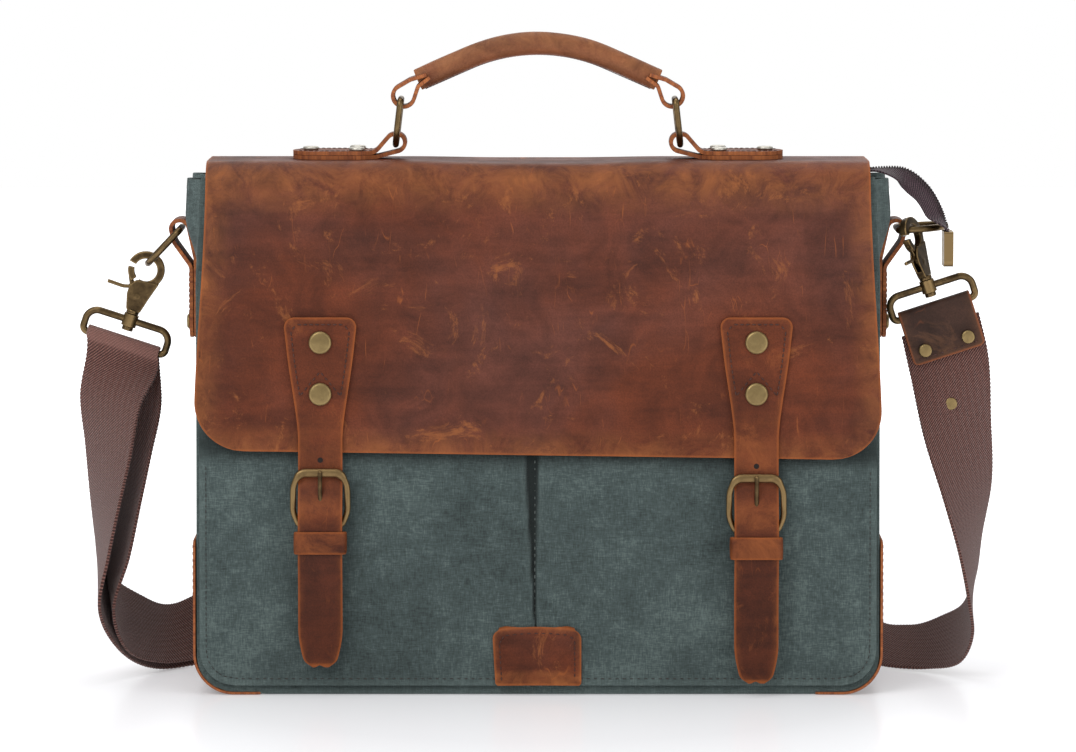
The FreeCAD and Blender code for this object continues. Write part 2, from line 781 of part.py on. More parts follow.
def hook_trigger(side):
    """The gate of the hook's eye, its lug on the pin and the thumb lever."""
    gate = sector(eye_inner + 0.1, eye_outer - 0.5, 184, 234, 1.95)
    lug = slab_y([(-8.4, 23.6), (-4.6, 22.0), (2.3, 15.5), (1.6, 11.9), (-1.6, 11.6), (-4.2, 15)],
                 [0, 0, 1.5, 1.5, 1.5, 1.5], -1.1, 1.1)
    lever = rod([(-4.4, 0, 18.6), (-9.5, 0, 17.2), (-18.7, 0, 17.4)], [0, 6, 0], 2.2)
    hole = disc(1.55, (0, -3, pin_height), (0, 3, pin_height))
    return placed(fused([gate, lug, lever]).cut(hole), hook_frame(side))


ring_half = 24.0
ring_drop = 13.4


def strap_ring(side):
    """A rectangular ring with the swivel's boss on its upper bar."""
    wire = rod([(-ring_half, 0, 0), (ring_half, 0, 0), (ring_half, 0, -ring_drop),
                (-ring_half, 0, -ring_drop)], [6.6, 6.6, 3.0, 3.0], strap_ring_wire, True)
    boss = disc(4.2, (0, 0, -3.5), (0, 0, 3.5))
    hole = disc(2.15, (0, 0, -6), (0, 0, 6))
    return placed(fused([wire, boss]).cut(hole), hook_place[side])


# ---- shoulder strap ----

def ring_bar_frame(side):
    """The frame of the ring's lower bar: X along the bar, Z up the hook."""
    return hook_place[side].multiply(FreeCAD.Placement(V(0, 0, -ring_drop), FreeCAD.Rotation()))


def ring_bar(side, reach, outward, rise):
    return tuple(ring_bar_frame(side).multVec(V(reach, outward, rise)))


def round_the_bar(side, layer, half):
    """Edge points of the webbing as it turns over the ring's lower bar, from front to back."""
    stations = []
    for step in range(7):
        turn = math.radians(180 - 30 * step)
        outward = layer * math.cos(turn)
        rise = layer * math.sin(turn)
        stations.append((ring_bar(side, -half, outward, rise), ring_bar(side, half, outward, rise)))
    return stations


left_drop = [((-257.7, -12, 160), (-220.5, 12, 160)), ((-255, -17, 132), (-226, 17, 132)),
             ((-252.6, -20, 104), (-232, 20, 104)), ((-249.8, -21.7, 76), (-237.5, 21.7, 77)),
             ((-247.7, -20, 50), (-240, 22, 66))]
left_foot = [((-236, 5, 20), (-229, 40, 43)), ((-213, 40, 2), (-212, 70, 36)),
             ((-190, 62, 1.5), (-192, 80, 41.7)), ((-150, 72, 5), (-150, 72, 50))]
left_inward = [(0, 6.4, 0), (9, 4, 0), (10, 4, 0), (10, 3, 0), (9, 3, 2), (10, 2, 4), (8, 2, 6),
               (6, 1, 6), (4, -2, 3), (0, -3.4, 0)]
right_drop = [((251, -15, 190.4), (208.2, -15, 176.4)), ((253, -14, 150), (214, 0, 133)),
              ((255.4, -16, 122), (221, 8, 106)), ((254, -19, 95), (231, 17, 82)),
              ((249.8, -21, 70), (238, 22, 66))]
right_foot = [((245, -16, 46), (241, 28, 54)), ((240, -2, 22), (240, 40, 40)),
              ((228, 20, 7), (232, 58, 30)), ((212, 42, 1.5), (214, 70, 36)),
              ((190, 62, 1.5), (192, 80, 41.5)), ((150, 72, 5), (150, 72, 50))]


def moved(point, shift):
    return tuple(a + b for a, b in zip(point, shift))


def left_return():
    """The inner layer of the left end, from the ring's bar down to the floor and along it."""
    shifts = left_inward[1:]
    outer = left_drop + left_foot
    return [(moved(near, shift), moved(far, shift)) for (near, far), shift in zip(outer, shifts)]


def left_sections():
    """The strap's left end, from behind the bag up to its ring, over the bar and back again."""
    outer = list(reversed(left_drop + left_foot))
    return strap_sections(outer + round_the_bar("left", 3.3, 20.8) + left_return())


def webbing_left_drop():
    """Both layers of the strap below its left ring, and the turn over the ring's bar."""
    return ribbon(left_sections()[len(left_foot):-len(left_foot)])


def right_sections():
    return strap_sections([chape_station(9.0)] + right_drop + right_foot)


def webbing_right_drop():
    holes = [disc(1.6, (x, -8, z), (x, 8, z)) for x, z in chape_rivets()]
    strap = ribbon(right_sections()[:1 + len(right_drop)])
    return strap.cut(placed(fused(holes), ring_bar_frame("right")))


def webbing_floor():
    """The strap where it turns under and lies on the floor behind the bag."""
    outer_foot = ribbon(left_sections()[:len(left_foot) + 1])
    inner_foot = ribbon(left_sections()[-len(left_foot) - 1:])
    right_foot_run = ribbon(right_sections()[len(right_drop):])
    run = Part.makeBox(299.4, webbing_thickness, webbing_width, V(-149.7, 71, 5))
    return Part.makeCompound([outer_foot, inner_foot, run, right_foot_run])


def webbing_return():
    """The strap's end, doubled back along the floor run to the slide's middle bar."""
    return Part.makeBox(149.7 - 98.5, webbing_thickness, webbing_width, V(-149.7, 67.6, 5))


def chape_station(down):
    """Edge points of the right end at a distance below the ring's lower bar."""
    first = (ring_bar("right", 22.4, 0, -5.0), ring_bar("right", -22.4, 0, -5.0))
    share = (down - 5.0) / 30.0
    below = right_drop[0]
    return tuple(tuple(a + (b - a) * share for a, b in zip(start, stop))
                 for start, stop in zip(first, below))


def strap_end_leather():
    """The leather folded over the right ring's bar and riveted to the webbing."""
    half = 20.8
    leather = 2.0
    length = 27.0
    points = [(-3.6, -length), (-3.6, 3.6), (3.6, 3.6), (3.6, -length)]
    band = band_x(points, [0, 3.59, 3.59, 0], leather, -half, half)
    holes = [disc(1.6, (x, -8, z), (x, 8, z)) for x, z in chape_rivets()]
    leather_piece = band.cut(fused(holes))
    return placed(leather_piece, ring_bar_frame("right"))


def chape_rivets():
    return [(12.5, -20.0), (-12.5, -20.0)]


def strap_end_rivets():
    pieces = []
    for x, z in chape_rivets():
        cap = dome(3.6, 1.5, (x, -4.65, z), (0, -1, 0))
        back = dome(3.6, 1.0, (x, 4.65, z), (0, 1, 0))
        shank = disc(1.5, (x, -4.8, z), (x, 4.8, z))
        pieces.append(fused([cap, shank, back]))
    return placed(Part.makeCompound(pieces), ring_bar_frame("right"))


def strap_adjuster():
    """A three-bar slide: the strap runs over the outer bars and its end turns round the middle one."""
    rails = []
    for low, high in ((0.9, 4.4), (50.6, 54.1)):
        rails.append(slab_z([(-112.4, 66.6), (-77.6, 66.6), (-77.6, 77.9), (-112.4, 77.9)], 2.0,
                            low, high))
    bars = []
    for x, y in ((-110, 75.6), (-80, 75.6), (-95, 68.9)):
        bars.append(disc(1.7, (x, y, 2.5), (x, y, 52.5)))
    return fused(rails + bars)


def build():
    os.makedirs("parts", exist_ok=True)
    export("front_panel", front_panel())
    export("back_panel", back_panel())
    export("pocket_panel", pocket_panel())
    export("base_panel", base_panel())
    export("lining", lining())
    export("centre_patch", centre_patch())
    export("zip_tapes", Part.makeCompound([zip_tape(-1), zip_tape(1)]))
    export("zip_teeth", zip_teeth())
    export("zip_slider", zip_slider())
    export("zip_pull", zip_pull())
    export("zip_tail", zip_tail())
    export("zip_end_clamp", zip_end_clamp())
    flap_back, flap_top, flap_front = flap_pieces()
    export("flap_back", flap_back)
    export("flap_top", flap_top)
    export("flap_front", flap_front)
    export("flap_strap_rivets", flap_strap_rivets())
    export("snap_sockets", snap_sockets())
    for side in ("left", "right"):
        export(side + "_strap_upper", strap_upper(side))
        export(side + "_strap_lower", strap_lower(side))
        export(side + "_buckle_frame", buckle_frame(side))
        export(side + "_buckle_prong", buckle_prong(side))
        export(side + "_keeper", keeper(side))
        export(side + "_buckle_chape", buckle_chape(side))
        export(side + "_snap_stud", snap_stud(side))
        export(side + "_d_ring", d_ring(side))
        export(side + "_hook_body", hook_body(side))
        export(side + "_hook_trigger", hook_trigger(side))
        export(side + "_strap_ring", strap_ring(side))
    for side, sign in (("left", -1), ("right", 1)):
        export(side + "_gusset", gusset(sign))
        export(side + "_handle_ring", handle_ring(sign))
        export(side + "_d_ring_tab", d_ring_tab(sign))
    for name, make in (("corner_guards", corner_guard), ("handle_tabs", handle_tab),
                       ("handle_loops", handle_loop)):
        export(name, Part.makeCompound([make(-1), make(1)]))
    export("handle_tab_rivets", handle_tab_rivet_group())
    export("handle_grip", handle_grip())
    export("handle_core", handle_core())
    export("d_ring_tab_rivets", d_ring_tab_rivets())
    export("strap_end_leather", strap_end_leather())
    export("strap_end_rivets", strap_end_rivets())
    export("strap_adjuster", strap_adjuster())
    export("webbing_left_drop", webbing_left_drop())
    export("webbing_floor", webbing_floor())
    export("webbing_return", webbing_return())
    export("webbing_right_drop", webbing_right_drop())


build()
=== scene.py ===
import bmesh
import bpy
import math
from mathutils import Matrix, Vector, noise


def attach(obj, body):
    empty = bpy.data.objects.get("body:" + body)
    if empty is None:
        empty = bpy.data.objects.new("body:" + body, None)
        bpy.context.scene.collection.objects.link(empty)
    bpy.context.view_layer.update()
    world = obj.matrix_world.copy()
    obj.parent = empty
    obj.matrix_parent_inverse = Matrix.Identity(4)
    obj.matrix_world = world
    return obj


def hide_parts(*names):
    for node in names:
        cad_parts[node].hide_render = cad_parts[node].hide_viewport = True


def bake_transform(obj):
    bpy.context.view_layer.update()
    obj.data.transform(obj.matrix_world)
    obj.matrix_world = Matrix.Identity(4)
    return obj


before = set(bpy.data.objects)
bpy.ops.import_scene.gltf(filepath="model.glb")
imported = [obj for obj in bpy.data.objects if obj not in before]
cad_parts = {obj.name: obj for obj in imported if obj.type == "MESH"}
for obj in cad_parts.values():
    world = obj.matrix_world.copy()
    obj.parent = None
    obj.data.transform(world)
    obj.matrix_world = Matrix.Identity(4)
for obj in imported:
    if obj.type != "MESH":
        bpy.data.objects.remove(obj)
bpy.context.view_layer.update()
scene = bpy.context.scene
mm = 0.001
print("frame loaded")


# the bag's own directions: x across, t up its sloping front or back, n out from it
bag = {"halfDepth": 50, "lean": math.atan(18 / 284), "half": 190}
leanSin = math.sin(bag["lean"])
leanCos = math.cos(bag["lean"])
closureX = {"left": -120.6, "right": 121.0}
closureDrop = {"left": 0.0, "right": 3.0}


def onFront(x, t, n):
    y = -bag["halfDepth"] + t * leanSin - n * leanCos
    return Vector((x, y, t * leanCos + n * leanSin)) * mm


def onBack(x, t, n):
    point = onFront(x, t, n)
    return Vector((point.x, -point.y, point.z))


# materials
def hexColour(text):
    channels = [int(text[i:i + 2], 16) / 255 for i in (0, 2, 4)]
    linear = [c / 12.92 if c <= 0.04045 else ((c + 0.055) / 1.055) ** 2.4 for c in channels]
    return (*linear, 1.0)


def newMaterial(name):
    material = bpy.data.materials.new(name)
    material.use_nodes = True
    tree = material.node_tree
    tree.nodes.clear()
    output = tree.nodes.new("ShaderNodeOutputMaterial")
    shader = tree.nodes.new("ShaderNodeBsdfPrincipled")
    tree.links.new(shader.outputs["BSDF"], output.inputs["Surface"])
    return material, tree, shader


def restPosition(tree):
    node = tree.nodes.new("ShaderNodeAttribute")
    node.attribute_name = "restPlace"
    return node.outputs["Vector"]


def objectPosition(tree):
    return tree.nodes.new("ShaderNodeTexCoord").outputs["Object"]


def noiseNode(tree, place, scale, detail=4, roughness=0.55, distortion=0.0, stretch=(1, 1, 1)):
    mapping = tree.nodes.new("ShaderNodeMapping")
    mapping.inputs["Scale"].default_value = stretch
    tree.links.new(place, mapping.inputs["Vector"])
    node = tree.nodes.new("ShaderNodeTexNoise")
    node.inputs["Scale"].default_value = scale
    node.inputs["Detail"].default_value = detail
    node.inputs["Roughness"].default_value = roughness
    node.inputs["Distortion"].default_value = distortion
    tree.links.new(mapping.outputs["Vector"], node.inputs["Vector"])
    return node.outputs["Fac"]


def rampNode(tree, value, stops):
    node = tree.nodes.new("ShaderNodeValToRGB")
    ramp = node.color_ramp
    while len(ramp.elements) < len(stops):
        ramp.elements.new(0.5)
    for element, (position, colour) in zip(ramp.elements, stops):
        element.position = position
        element.color = colour if len(colour) == 4 else (*colour, 1)
    tree.links.new(value, node.inputs["Fac"])
    return node.outputs["Color"]


def grey(value):
    return (value, value, value, 1)


def colourMix(tree, factor, first, second, blend="MIX"):
    node = tree.nodes.new("ShaderNodeMix")
    node.data_type = "RGBA"
    node.blend_type = blend
    sockets = (node.inputs[0], node.inputs[6], node.inputs[7])
    for socket, value in zip(sockets, (factor, first, second)):
        if isinstance(value, (int, float, tuple)):
            socket.default_value = value
        else:
            tree.links.new(value, socket)
    return node.outputs[2]


def mathNode(tree, operation, first, second=None, third=None):
    node = tree.nodes.new("ShaderNodeMath")
    node.operation = operation
    for socket, value in zip(node.inputs, (first, second, third)):
        if value is None:
            continue
        if isinstance(value, (int, float)):
            socket.default_value = value
        else:
            tree.links.new(value, socket)
    return node.outputs[0]


def spread(tree, value, low, high, fromZero=0.0, toOne=1.0):
    node = tree.nodes.new("ShaderNodeMapRange")
    node.inputs["From Min"].default_value = low
    node.inputs["From Max"].default_value = high
    node.inputs["To Min"].default_value = fromZero
    node.inputs["To Max"].default_value = toOne
    tree.links.new(value, node.inputs["Value"])
    return node.outputs["Result"]


def attribute(tree, name):
    node = tree.nodes.new("ShaderNodeAttribute")
    node.attribute_name = name
    return node.outputs["Fac"]


def bumpNode(tree, shader, heights):
    # heights is a list of (socket, distance in metres)
    normal = None
    for height, distance in heights:
        node = tree.nodes.new("ShaderNodeBump")
        node.inputs["Strength"].default_value = 1.0
        node.inputs["Distance"].default_value = distance
        tree.links.new(height, node.inputs["Height"])
        if normal is not None:
            tree.links.new(normal, node.inputs["Normal"])
        normal = node.outputs["Normal"]
    tree.links.new(normal, shader.inputs["Normal"])


def leatherMaterial(name, cool, warm, pale, rimColour, scratchAmount=1.0, warmth=0.0,
                    paintedShadeFade=None):
    # cool and warm are the hide's two broad tones, pale is where the wax has pulled away,
    # and the painted shade is set by an axis, the places where the darkening starts and ends, and how dark
    # it gets
    cool, warm, pale, rimColour = [hexColour(text) for text in (cool, warm, pale, rimColour)]
    material, tree, shader = newMaterial(name)
    place = restPosition(tree)
    separate = tree.nodes.new("ShaderNodeSeparateXYZ")
    tree.links.new(place, separate.inputs[0])
    clouds = noiseNode(tree, place, 7, 5, 0.55, 0.5)
    patches = noiseNode(tree, place, 38, 6, 0.62, 0.7)
    streaks = noiseNode(tree, place, 90, 4, 0.6, 0.3, (0.12, 1, 1))
    lower = spread(tree, separate.outputs["Z"], 0.27, 0.13)
    toneWarm = mathNode(tree, "MULTIPLY_ADD", lower, 0.45, spread(tree, clouds, 0.36, 0.66, warmth, 1.0))
    colour = colourMix(tree, mathNode(tree, "MINIMUM", toneWarm, 1.0), cool, warm)
    shade = mathNode(tree, "MULTIPLY_ADD", patches, 0.6, mathNode(tree, "MULTIPLY", streaks, 0.4))
    mottle = rampNode(tree, shade, [(0.37, grey(0.6)), (0.5, grey(0.96)), (0.63, grey(1.36))])
    colour = colourMix(tree, 1.0, colour, mottle, "MULTIPLY")
    # painted shade: darker along one axis
    if paintedShadeFade:
        axis, start, end, amount = paintedShadeFade
        shadeShare = spread(tree, separate.outputs[axis], start, end)
        colour = colourMix(tree, shadeShare, colour, grey(amount), "MULTIPLY")
    speckle = noiseNode(tree, place, 1100, 3, 0.7)
    colour = colourMix(tree, spread(tree, speckle, 0.36, 0.66, 0.0, 0.3), colour, cool, "MULTIPLY")
    # paler where the hide is bent and rubbed
    wear = mathNode(tree, "MULTIPLY", attribute(tree, "wear"), 0.8)
    worn = spread(tree, noiseNode(tree, place, 55, 6, 0.7, 0.8), 0.34, 0.66)
    rub = mathNode(tree, "MULTIPLY", wear, worn)
    colour = colourMix(tree, rub, colour, pale)
    scuffs = spread(tree, noiseNode(tree, place, 27, 9, 0.76, 1.2), 0.57, 0.66)
    colour = colourMix(tree, mathNode(tree, "MULTIPLY", scuffs, 0.6 * scratchAmount), colour, pale)
    # short thin scratches, thinned out by a mask
    scratches = None
    for turn, scale, edge in ((0.6, 1.6, 0.016), (-0.8, 2.0, 0.014), (1.5, 1.3, 0.012)):
        mapping = tree.nodes.new("ShaderNodeMapping")
        mapping.inputs["Rotation"].default_value = (0, turn, 0)
        mapping.inputs["Scale"].default_value = (70 * scale, 70 * scale, 16 * scale)
        tree.links.new(place, mapping.inputs["Vector"])
        wander = tree.nodes.new("ShaderNodeTexNoise")
        wander.inputs["Scale"].default_value = 0.7
        wander.inputs["Detail"].default_value = 2
        tree.links.new(mapping.outputs["Vector"], wander.inputs["Vector"])
        bent = tree.nodes.new("ShaderNodeVectorMath")
        bent.operation = "MULTIPLY_ADD"
        bent.inputs[1].default_value = (1.6, 1.6, 1.6)
        tree.links.new(wander.outputs["Color"], bent.inputs[0])
        tree.links.new(mapping.outputs["Vector"], bent.inputs[2])
        cells = tree.nodes.new("ShaderNodeTexVoronoi")
        cells.feature = "DISTANCE_TO_EDGE"
        cells.inputs["Scale"].default_value = 0.55
        tree.links.new(bent.outputs[0], cells.inputs["Vector"])
        line = spread(tree, cells.outputs["Distance"], 0.0, edge, 1.0, 0.0)
        keep = spread(tree, noiseNode(tree, place, 34 * scale, 3, 0.5), 0.6, 0.7)
        line = mathNode(tree, "MULTIPLY", line, keep)
        scratches = line if scratches is None else mathNode(tree, "MAXIMUM", scratches, line)
    scratches = mathNode(tree, "MULTIPLY", scratches, 0.5 * scratchAmount)
    colour = colourMix(tree, scratches, colour, rimColour)
    # the dye stops just short of the cut edge
    band = mathNode(tree, "MULTIPLY", spread(tree, attribute(tree, "rim"), 0.1, 1.5, 1.0, 0.0), 0.6)
    colour = colourMix(tree, band, colour, rimColour)
    tree.links.new(colour, shader.inputs["Base Color"])
    tree.links.new(spread(tree, patches, 0.35, 0.7, 0.6, 0.47), shader.inputs["Roughness"])
    shader.inputs["Specular IOR Level"].default_value = 0.2
    grain = tree.nodes.new("ShaderNodeTexVoronoi")
    grain.inputs["Scale"].default_value = 1100
    tree.links.new(place, grain.inputs["Vector"])
    bumpNode(tree, shader, [(grain.outputs["Distance"], 0.00008), (patches, 0.0006),
                            (scratches, -0.0002), (speckle, 0.00007)])
    return material


def cutEdgeMaterial(name, dark, light):
    dark, light = hexColour(dark), hexColour(light)
    material, tree, shader = newMaterial(name)
    place = restPosition(tree)
    fibre = noiseNode(tree, place, 420, 4, 0.7, 0.5)
    colour = rampNode(tree, fibre, [(0.32, dark), (0.68, light)])
    tree.links.new(colour, shader.inputs["Base Color"])
    shader.inputs["Roughness"].default_value = 0.75
    bumpNode(tree, shader, [(fibre, 0.0004)])
    return material


def canvasMaterial(name, dark, middle, light):
    dark, middle, light = hexColour(dark), hexColour(middle), hexColour(light)
    material, tree, shader = newMaterial(name)
    place = restPosition(tree)
    separate = tree.nodes.new("ShaderNodeSeparateXYZ")
    tree.links.new(place, separate.inputs[0])
    threadTurn = 2 * math.pi / 0.00085
    sideways = mathNode(tree, "ADD", separate.outputs["X"], separate.outputs["Y"])
    across = mathNode(tree, "SINE", mathNode(tree, "MULTIPLY", sideways, threadTurn))
    upward = mathNode(tree, "SINE", mathNode(tree, "MULTIPLY", separate.outputs["Z"], threadTurn))
    crossing = mathNode(tree, "MULTIPLY", across, upward)
    # uneven yarn runs a few millimetres along each thread
    threadsAcross = noiseNode(tree, place, 1500, 2, 0.6, 0.0, (0.16, 0.3, 1.0))
    threadsUp = noiseNode(tree, place, 1500, 2, 0.6, 0.0, (1.0, 1.0, 0.16))
    heather = mathNode(tree, "MULTIPLY_ADD", threadsAcross, 0.5, mathNode(tree, "MULTIPLY", threadsUp, 0.5))
    clouds = noiseNode(tree, place, 13, 5, 0.6, 0.6)
    blotches = noiseNode(tree, place, 85, 5, 0.68, 0.4)
    tone = mathNode(tree, "MULTIPLY_ADD", heather, 0.5, mathNode(tree, "MULTIPLY", clouds, 0.31))
    tone = mathNode(tree, "MULTIPLY_ADD", blotches, 0.2, tone)
    colour = rampNode(tree, tone, [(0.38, dark), (0.51, middle), (0.66, light)])
    # pale rubbed lines where the waxed cloth has creased
    creases = noiseNode(tree, place, 30, 6, 0.6, 2.6)
    ridge = mathNode(tree, "ABSOLUTE", mathNode(tree, "SUBTRACT", creases, 0.5))
    streak = spread(tree, ridge, 0.0, 0.014, 0.34, 0.0)
    streak = mathNode(tree, "MULTIPLY", streak, spread(tree, blotches, 0.46, 0.6))
    wear = mathNode(tree, "MULTIPLY", attribute(tree, "wear"), 0.5)
    colour = colourMix(tree, mathNode(tree, "MAXIMUM", streak, wear), colour, light)
    # painted shade: the stored shade share darkens the cloth towards a near-black shadow colour
    shadow = (dark[0] * 0.4, dark[1] * 0.4, dark[2] * 0.4, 1)
    colour = colourMix(tree, attribute(tree, "paintedShade"), colour, shadow)
    tree.links.new(colour, shader.inputs["Base Color"])
    shader.inputs["Roughness"].default_value = 0.88
    shader.inputs["Specular IOR Level"].default_value = 0.2
    shader.inputs["Sheen Weight"].default_value = 0.12
    shader.inputs["Sheen Roughness"].default_value = 0.5
    bumpNode(tree, shader, [(crossing, 0.0001), (heather, 0.00035), (blotches, 0.0007)])
    return material


def webbingMaterial(name, dark, middle, light):
    # u runs across the webbing and v along it, both in millimetres
    dark, middle, light = hexColour(dark), hexColour(middle), hexColour(light)
    material, tree, shader = newMaterial(name)
    uvNode = tree.nodes.new("ShaderNodeUVMap")
    uvNode.uv_map = "weave"
    separate = tree.nodes.new("ShaderNodeSeparateXYZ")
    tree.links.new(uvNode.outputs["UV"], separate.inputs[0])
    across = separate.outputs["X"]
    along = separate.outputs["Y"]
    diagonal = mathNode(tree, "MULTIPLY_ADD", along, 1.15, across)
    twill = mathNode(tree, "SINE", mathNode(tree, "MULTIPLY", diagonal, 2 * math.pi / 1.9))
    ribs = mathNode(tree, "SINE", mathNode(tree, "MULTIPLY", across, 2 * math.pi / 1.3))
    picks = mathNode(tree, "SINE", mathNode(tree, "MULTIPLY", along, 2 * math.pi / 1.7))
    weave = mathNode(tree, "MULTIPLY_ADD", mathNode(tree, "MULTIPLY", ribs, picks), 0.5, twill)
    height = spread(tree, weave, -1.5, 1.5)
    fleck = noiseNode(tree, uvNode.outputs["UV"], 0.9, 4, 0.7)
    tone = mathNode(tree, "MULTIPLY_ADD", height, 0.45, mathNode(tree, "MULTIPLY", fleck, 0.55))
    colour = rampNode(tree, tone, [(0.28, dark), (0.5, middle), (0.74, light)])
    wear = attribute(tree, "wear")
    colour = colourMix(tree, mathNode(tree, "MULTIPLY", wear, 0.65), colour, light)
    tree.links.new(colour, shader.inputs["Base Color"])
    shader.inputs["Roughness"].default_value = 0.85
    shader.inputs["Specular IOR Level"].default_value = 0.25
    shader.inputs["Sheen Weight"].default_value = 0.2
    bumpNode(tree, shader, [(height, 0.0005), (fleck, 0.0003)])
    return material


def metalMaterial(name, dark, light, roughness):
    dark, light = hexColour(dark), hexColour(light)
    material, tree, shader = newMaterial(name)
    place = objectPosition(tree)
    clouds = noiseNode(tree, place, 160, 5, 0.65, 0.5)
    geometry = tree.nodes.new("ShaderNodeNewGeometry")
    edges = spread(tree, geometry.outputs["Pointiness"], 0.5, 0.56)
    tone = mathNode(tree, "MULTIPLY_ADD", edges, 0.5, mathNode(tree, "MULTIPLY", clouds, 0.5))
    colour = rampNode(tree, tone, [(0.12, dark), (0.55, light)])
    tree.links.new(colour, shader.inputs["Base Color"])
    shader.inputs["Metallic"].default_value = 1.0
    tree.links.new(spread(tree, clouds, 0.3, 0.75, roughness + 0.16, roughness - 0.06),
                   shader.inputs["Roughness"])
    scratches = noiseNode(tree, place, 700, 3, 0.6, 0.0, (1, 1, 0.15))
    bumpNode(tree, shader, [(scratches, 0.00004), (clouds, 0.0001)])
    return material


def plainMaterial(name, dark, light, roughness, scale=300, depth=0.0002):
    dark, light = hexColour(dark), hexColour(light)
    material, tree, shader = newMaterial(name)
    place = objectPosition(tree)
    fleck = noiseNode(tree, place, scale, 4, 0.65)
    colour = rampNode(tree, fleck, [(0.35, dark), (0.65, light)])
    tree.links.new(colour, shader.inputs["Base Color"])
    shader.inputs["Roughness"].default_value = roughness
    bumpNode(tree, shader, [(fleck, depth)])
    return material


# painted shade: the hide is darker towards its left side
hide = leatherMaterial("waxedHide", "58332a", "5f2c16", "985a2f", "9c5527",
                       paintedShadeFade=("X", -0.13, -0.2, 0.7))
# painted shade: the strap leather is darker below about 105 mm
strapHide = leatherMaterial("strapHide", "4b2417", "5e2b14", "8e4e26", "98501f", 0.6, 0.2,
                            paintedShadeFade=("Z", 0.105, 0.075, 0.66))
endHide = leatherMaterial("endHide", "33211a", "42291d", "6a4730", "94502a", 0.6)
gripHide = leatherMaterial("gripHide", "6a3c28", "7c4a2f", "a06a42", "9c5c2e", 0.3, 0.4)
cutEdge = cutEdgeMaterial("cutEdge", "6b3215", "a8612e")
canvas = canvasMaterial("waxedCanvas", "2e3736", "455150", "677572")
liningCloth = canvasMaterial("liningCloth", "17130f", "2a231d", "403a33")
webbing = webbingMaterial("twillWebbing", "2a1715", "513029", "8d655c")
zipCloth = webbingMaterial("zipCloth", "1c1114", "33222a", "5c464c")
brass = metalMaterial("antiqueBrass", "2a2018", "806a48", 0.32)
paleBrass = metalMaterial("rivetBrass", "51422b", "8f7b54", 0.38)
nickel = metalMaterial("nickelPlate", "7c786f", "bdb9af", 0.36)
snapSteel = metalMaterial("snapSteel", "66604f", "a89f86", 0.35)
brownThread = plainMaterial("brownThread", "260f0b", "4f2a1e", 0.7, 900)
darkThread = plainMaterial("darkThread", "1b1716", "39302c", 0.75, 900)
paleThread = plainMaterial("paleThread", "3c4341", "7b8481", 0.75, 900)
rope = plainMaterial("cottonRope", "7a6a52", "b3a284", 0.9, 500, 0.0006)
zipTeeth = plainMaterial("zipTeeth", "1a1012", "3c2a2a", 0.45, 600)
holeShadow = plainMaterial("holeShadow", "0d0806", "1a100b", 0.9)
print("materials made")


# shared builders
def addPiece(name, bm, materials, body=None, nodes=()):
    mesh = bpy.data.meshes.new(name)
    bm.to_mesh(mesh)
    bm.free()
    for material in materials:
        mesh.materials.append(material)
    mesh.polygons.foreach_set("use_smooth", [True] * len(mesh.polygons))
    rest = mesh.attributes.new("restPlace", "FLOAT_VECTOR", "POINT")
    rest.data.foreach_set("vector", [value for vertex in mesh.vertices for value in vertex.co])
    piece = bpy.data.objects.new(name, mesh)
    scene.collection.objects.link(piece)
    if nodes:
        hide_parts(*nodes)
    if body:
        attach(piece, body)
    return piece


def sheetMesh(columns, rows, place, unbevelled=None, closeAcross=False):
    # place(u, v) gives a point and what its vertex stores: distance from the cut edge in mm, rubbing, and
    # optionally painted shade
    bm = bmesh.new()
    rim = bm.verts.layers.float.new("rim")
    wear = bm.verts.layers.float.new("wear")
    paintedShade = bm.verts.layers.float.new("paintedShade")
    weight = bm.edges.layers.float.new("bevel_weight_edge")
    bmesh.ops.create_grid(bm, x_segments=columns, y_segments=rows, size=0.5)
    ends = {}
    for vertex in bm.verts:
        u = vertex.co.x + 0.5
        v = vertex.co.y + 0.5
        ends[vertex] = (u, v)
        vertex.co, vertex[rim], vertex[wear], *more = place(u, v)
        vertex[paintedShade] = more[0] if more else 0.0
    for edge in bm.edges:
        if edge.is_boundary:
            uvPair = [ends[vertex] for vertex in edge.verts]
            if unbevelled is None or not unbevelled(*uvPair):
                edge[weight] = 1.0
    if closeAcross:
        bmesh.ops.remove_doubles(bm, verts=bm.verts, dist=0.00001)
        for edge in bm.edges:
            if not edge.is_boundary:
                edge[weight] = 0.0
    return bm


def thicken(piece, thickness, bevel, rimMaterial=True, offset=0.0):
    solid = piece.modifiers.new("thickness", "SOLIDIFY")
    solid.thickness = thickness * mm
    solid.offset = offset
    solid.use_even_offset = True
    solid.use_quality_normals = True
    solid.material_offset_rim = 1 if rimMaterial else 0
    if bevel:
        soften = piece.modifiers.new("edge", "BEVEL")
        soften.width = bevel * mm
        soften.segments = 2
        soften.limit_method = "WEIGHT"
        soften.harden_normals = True
    return piece


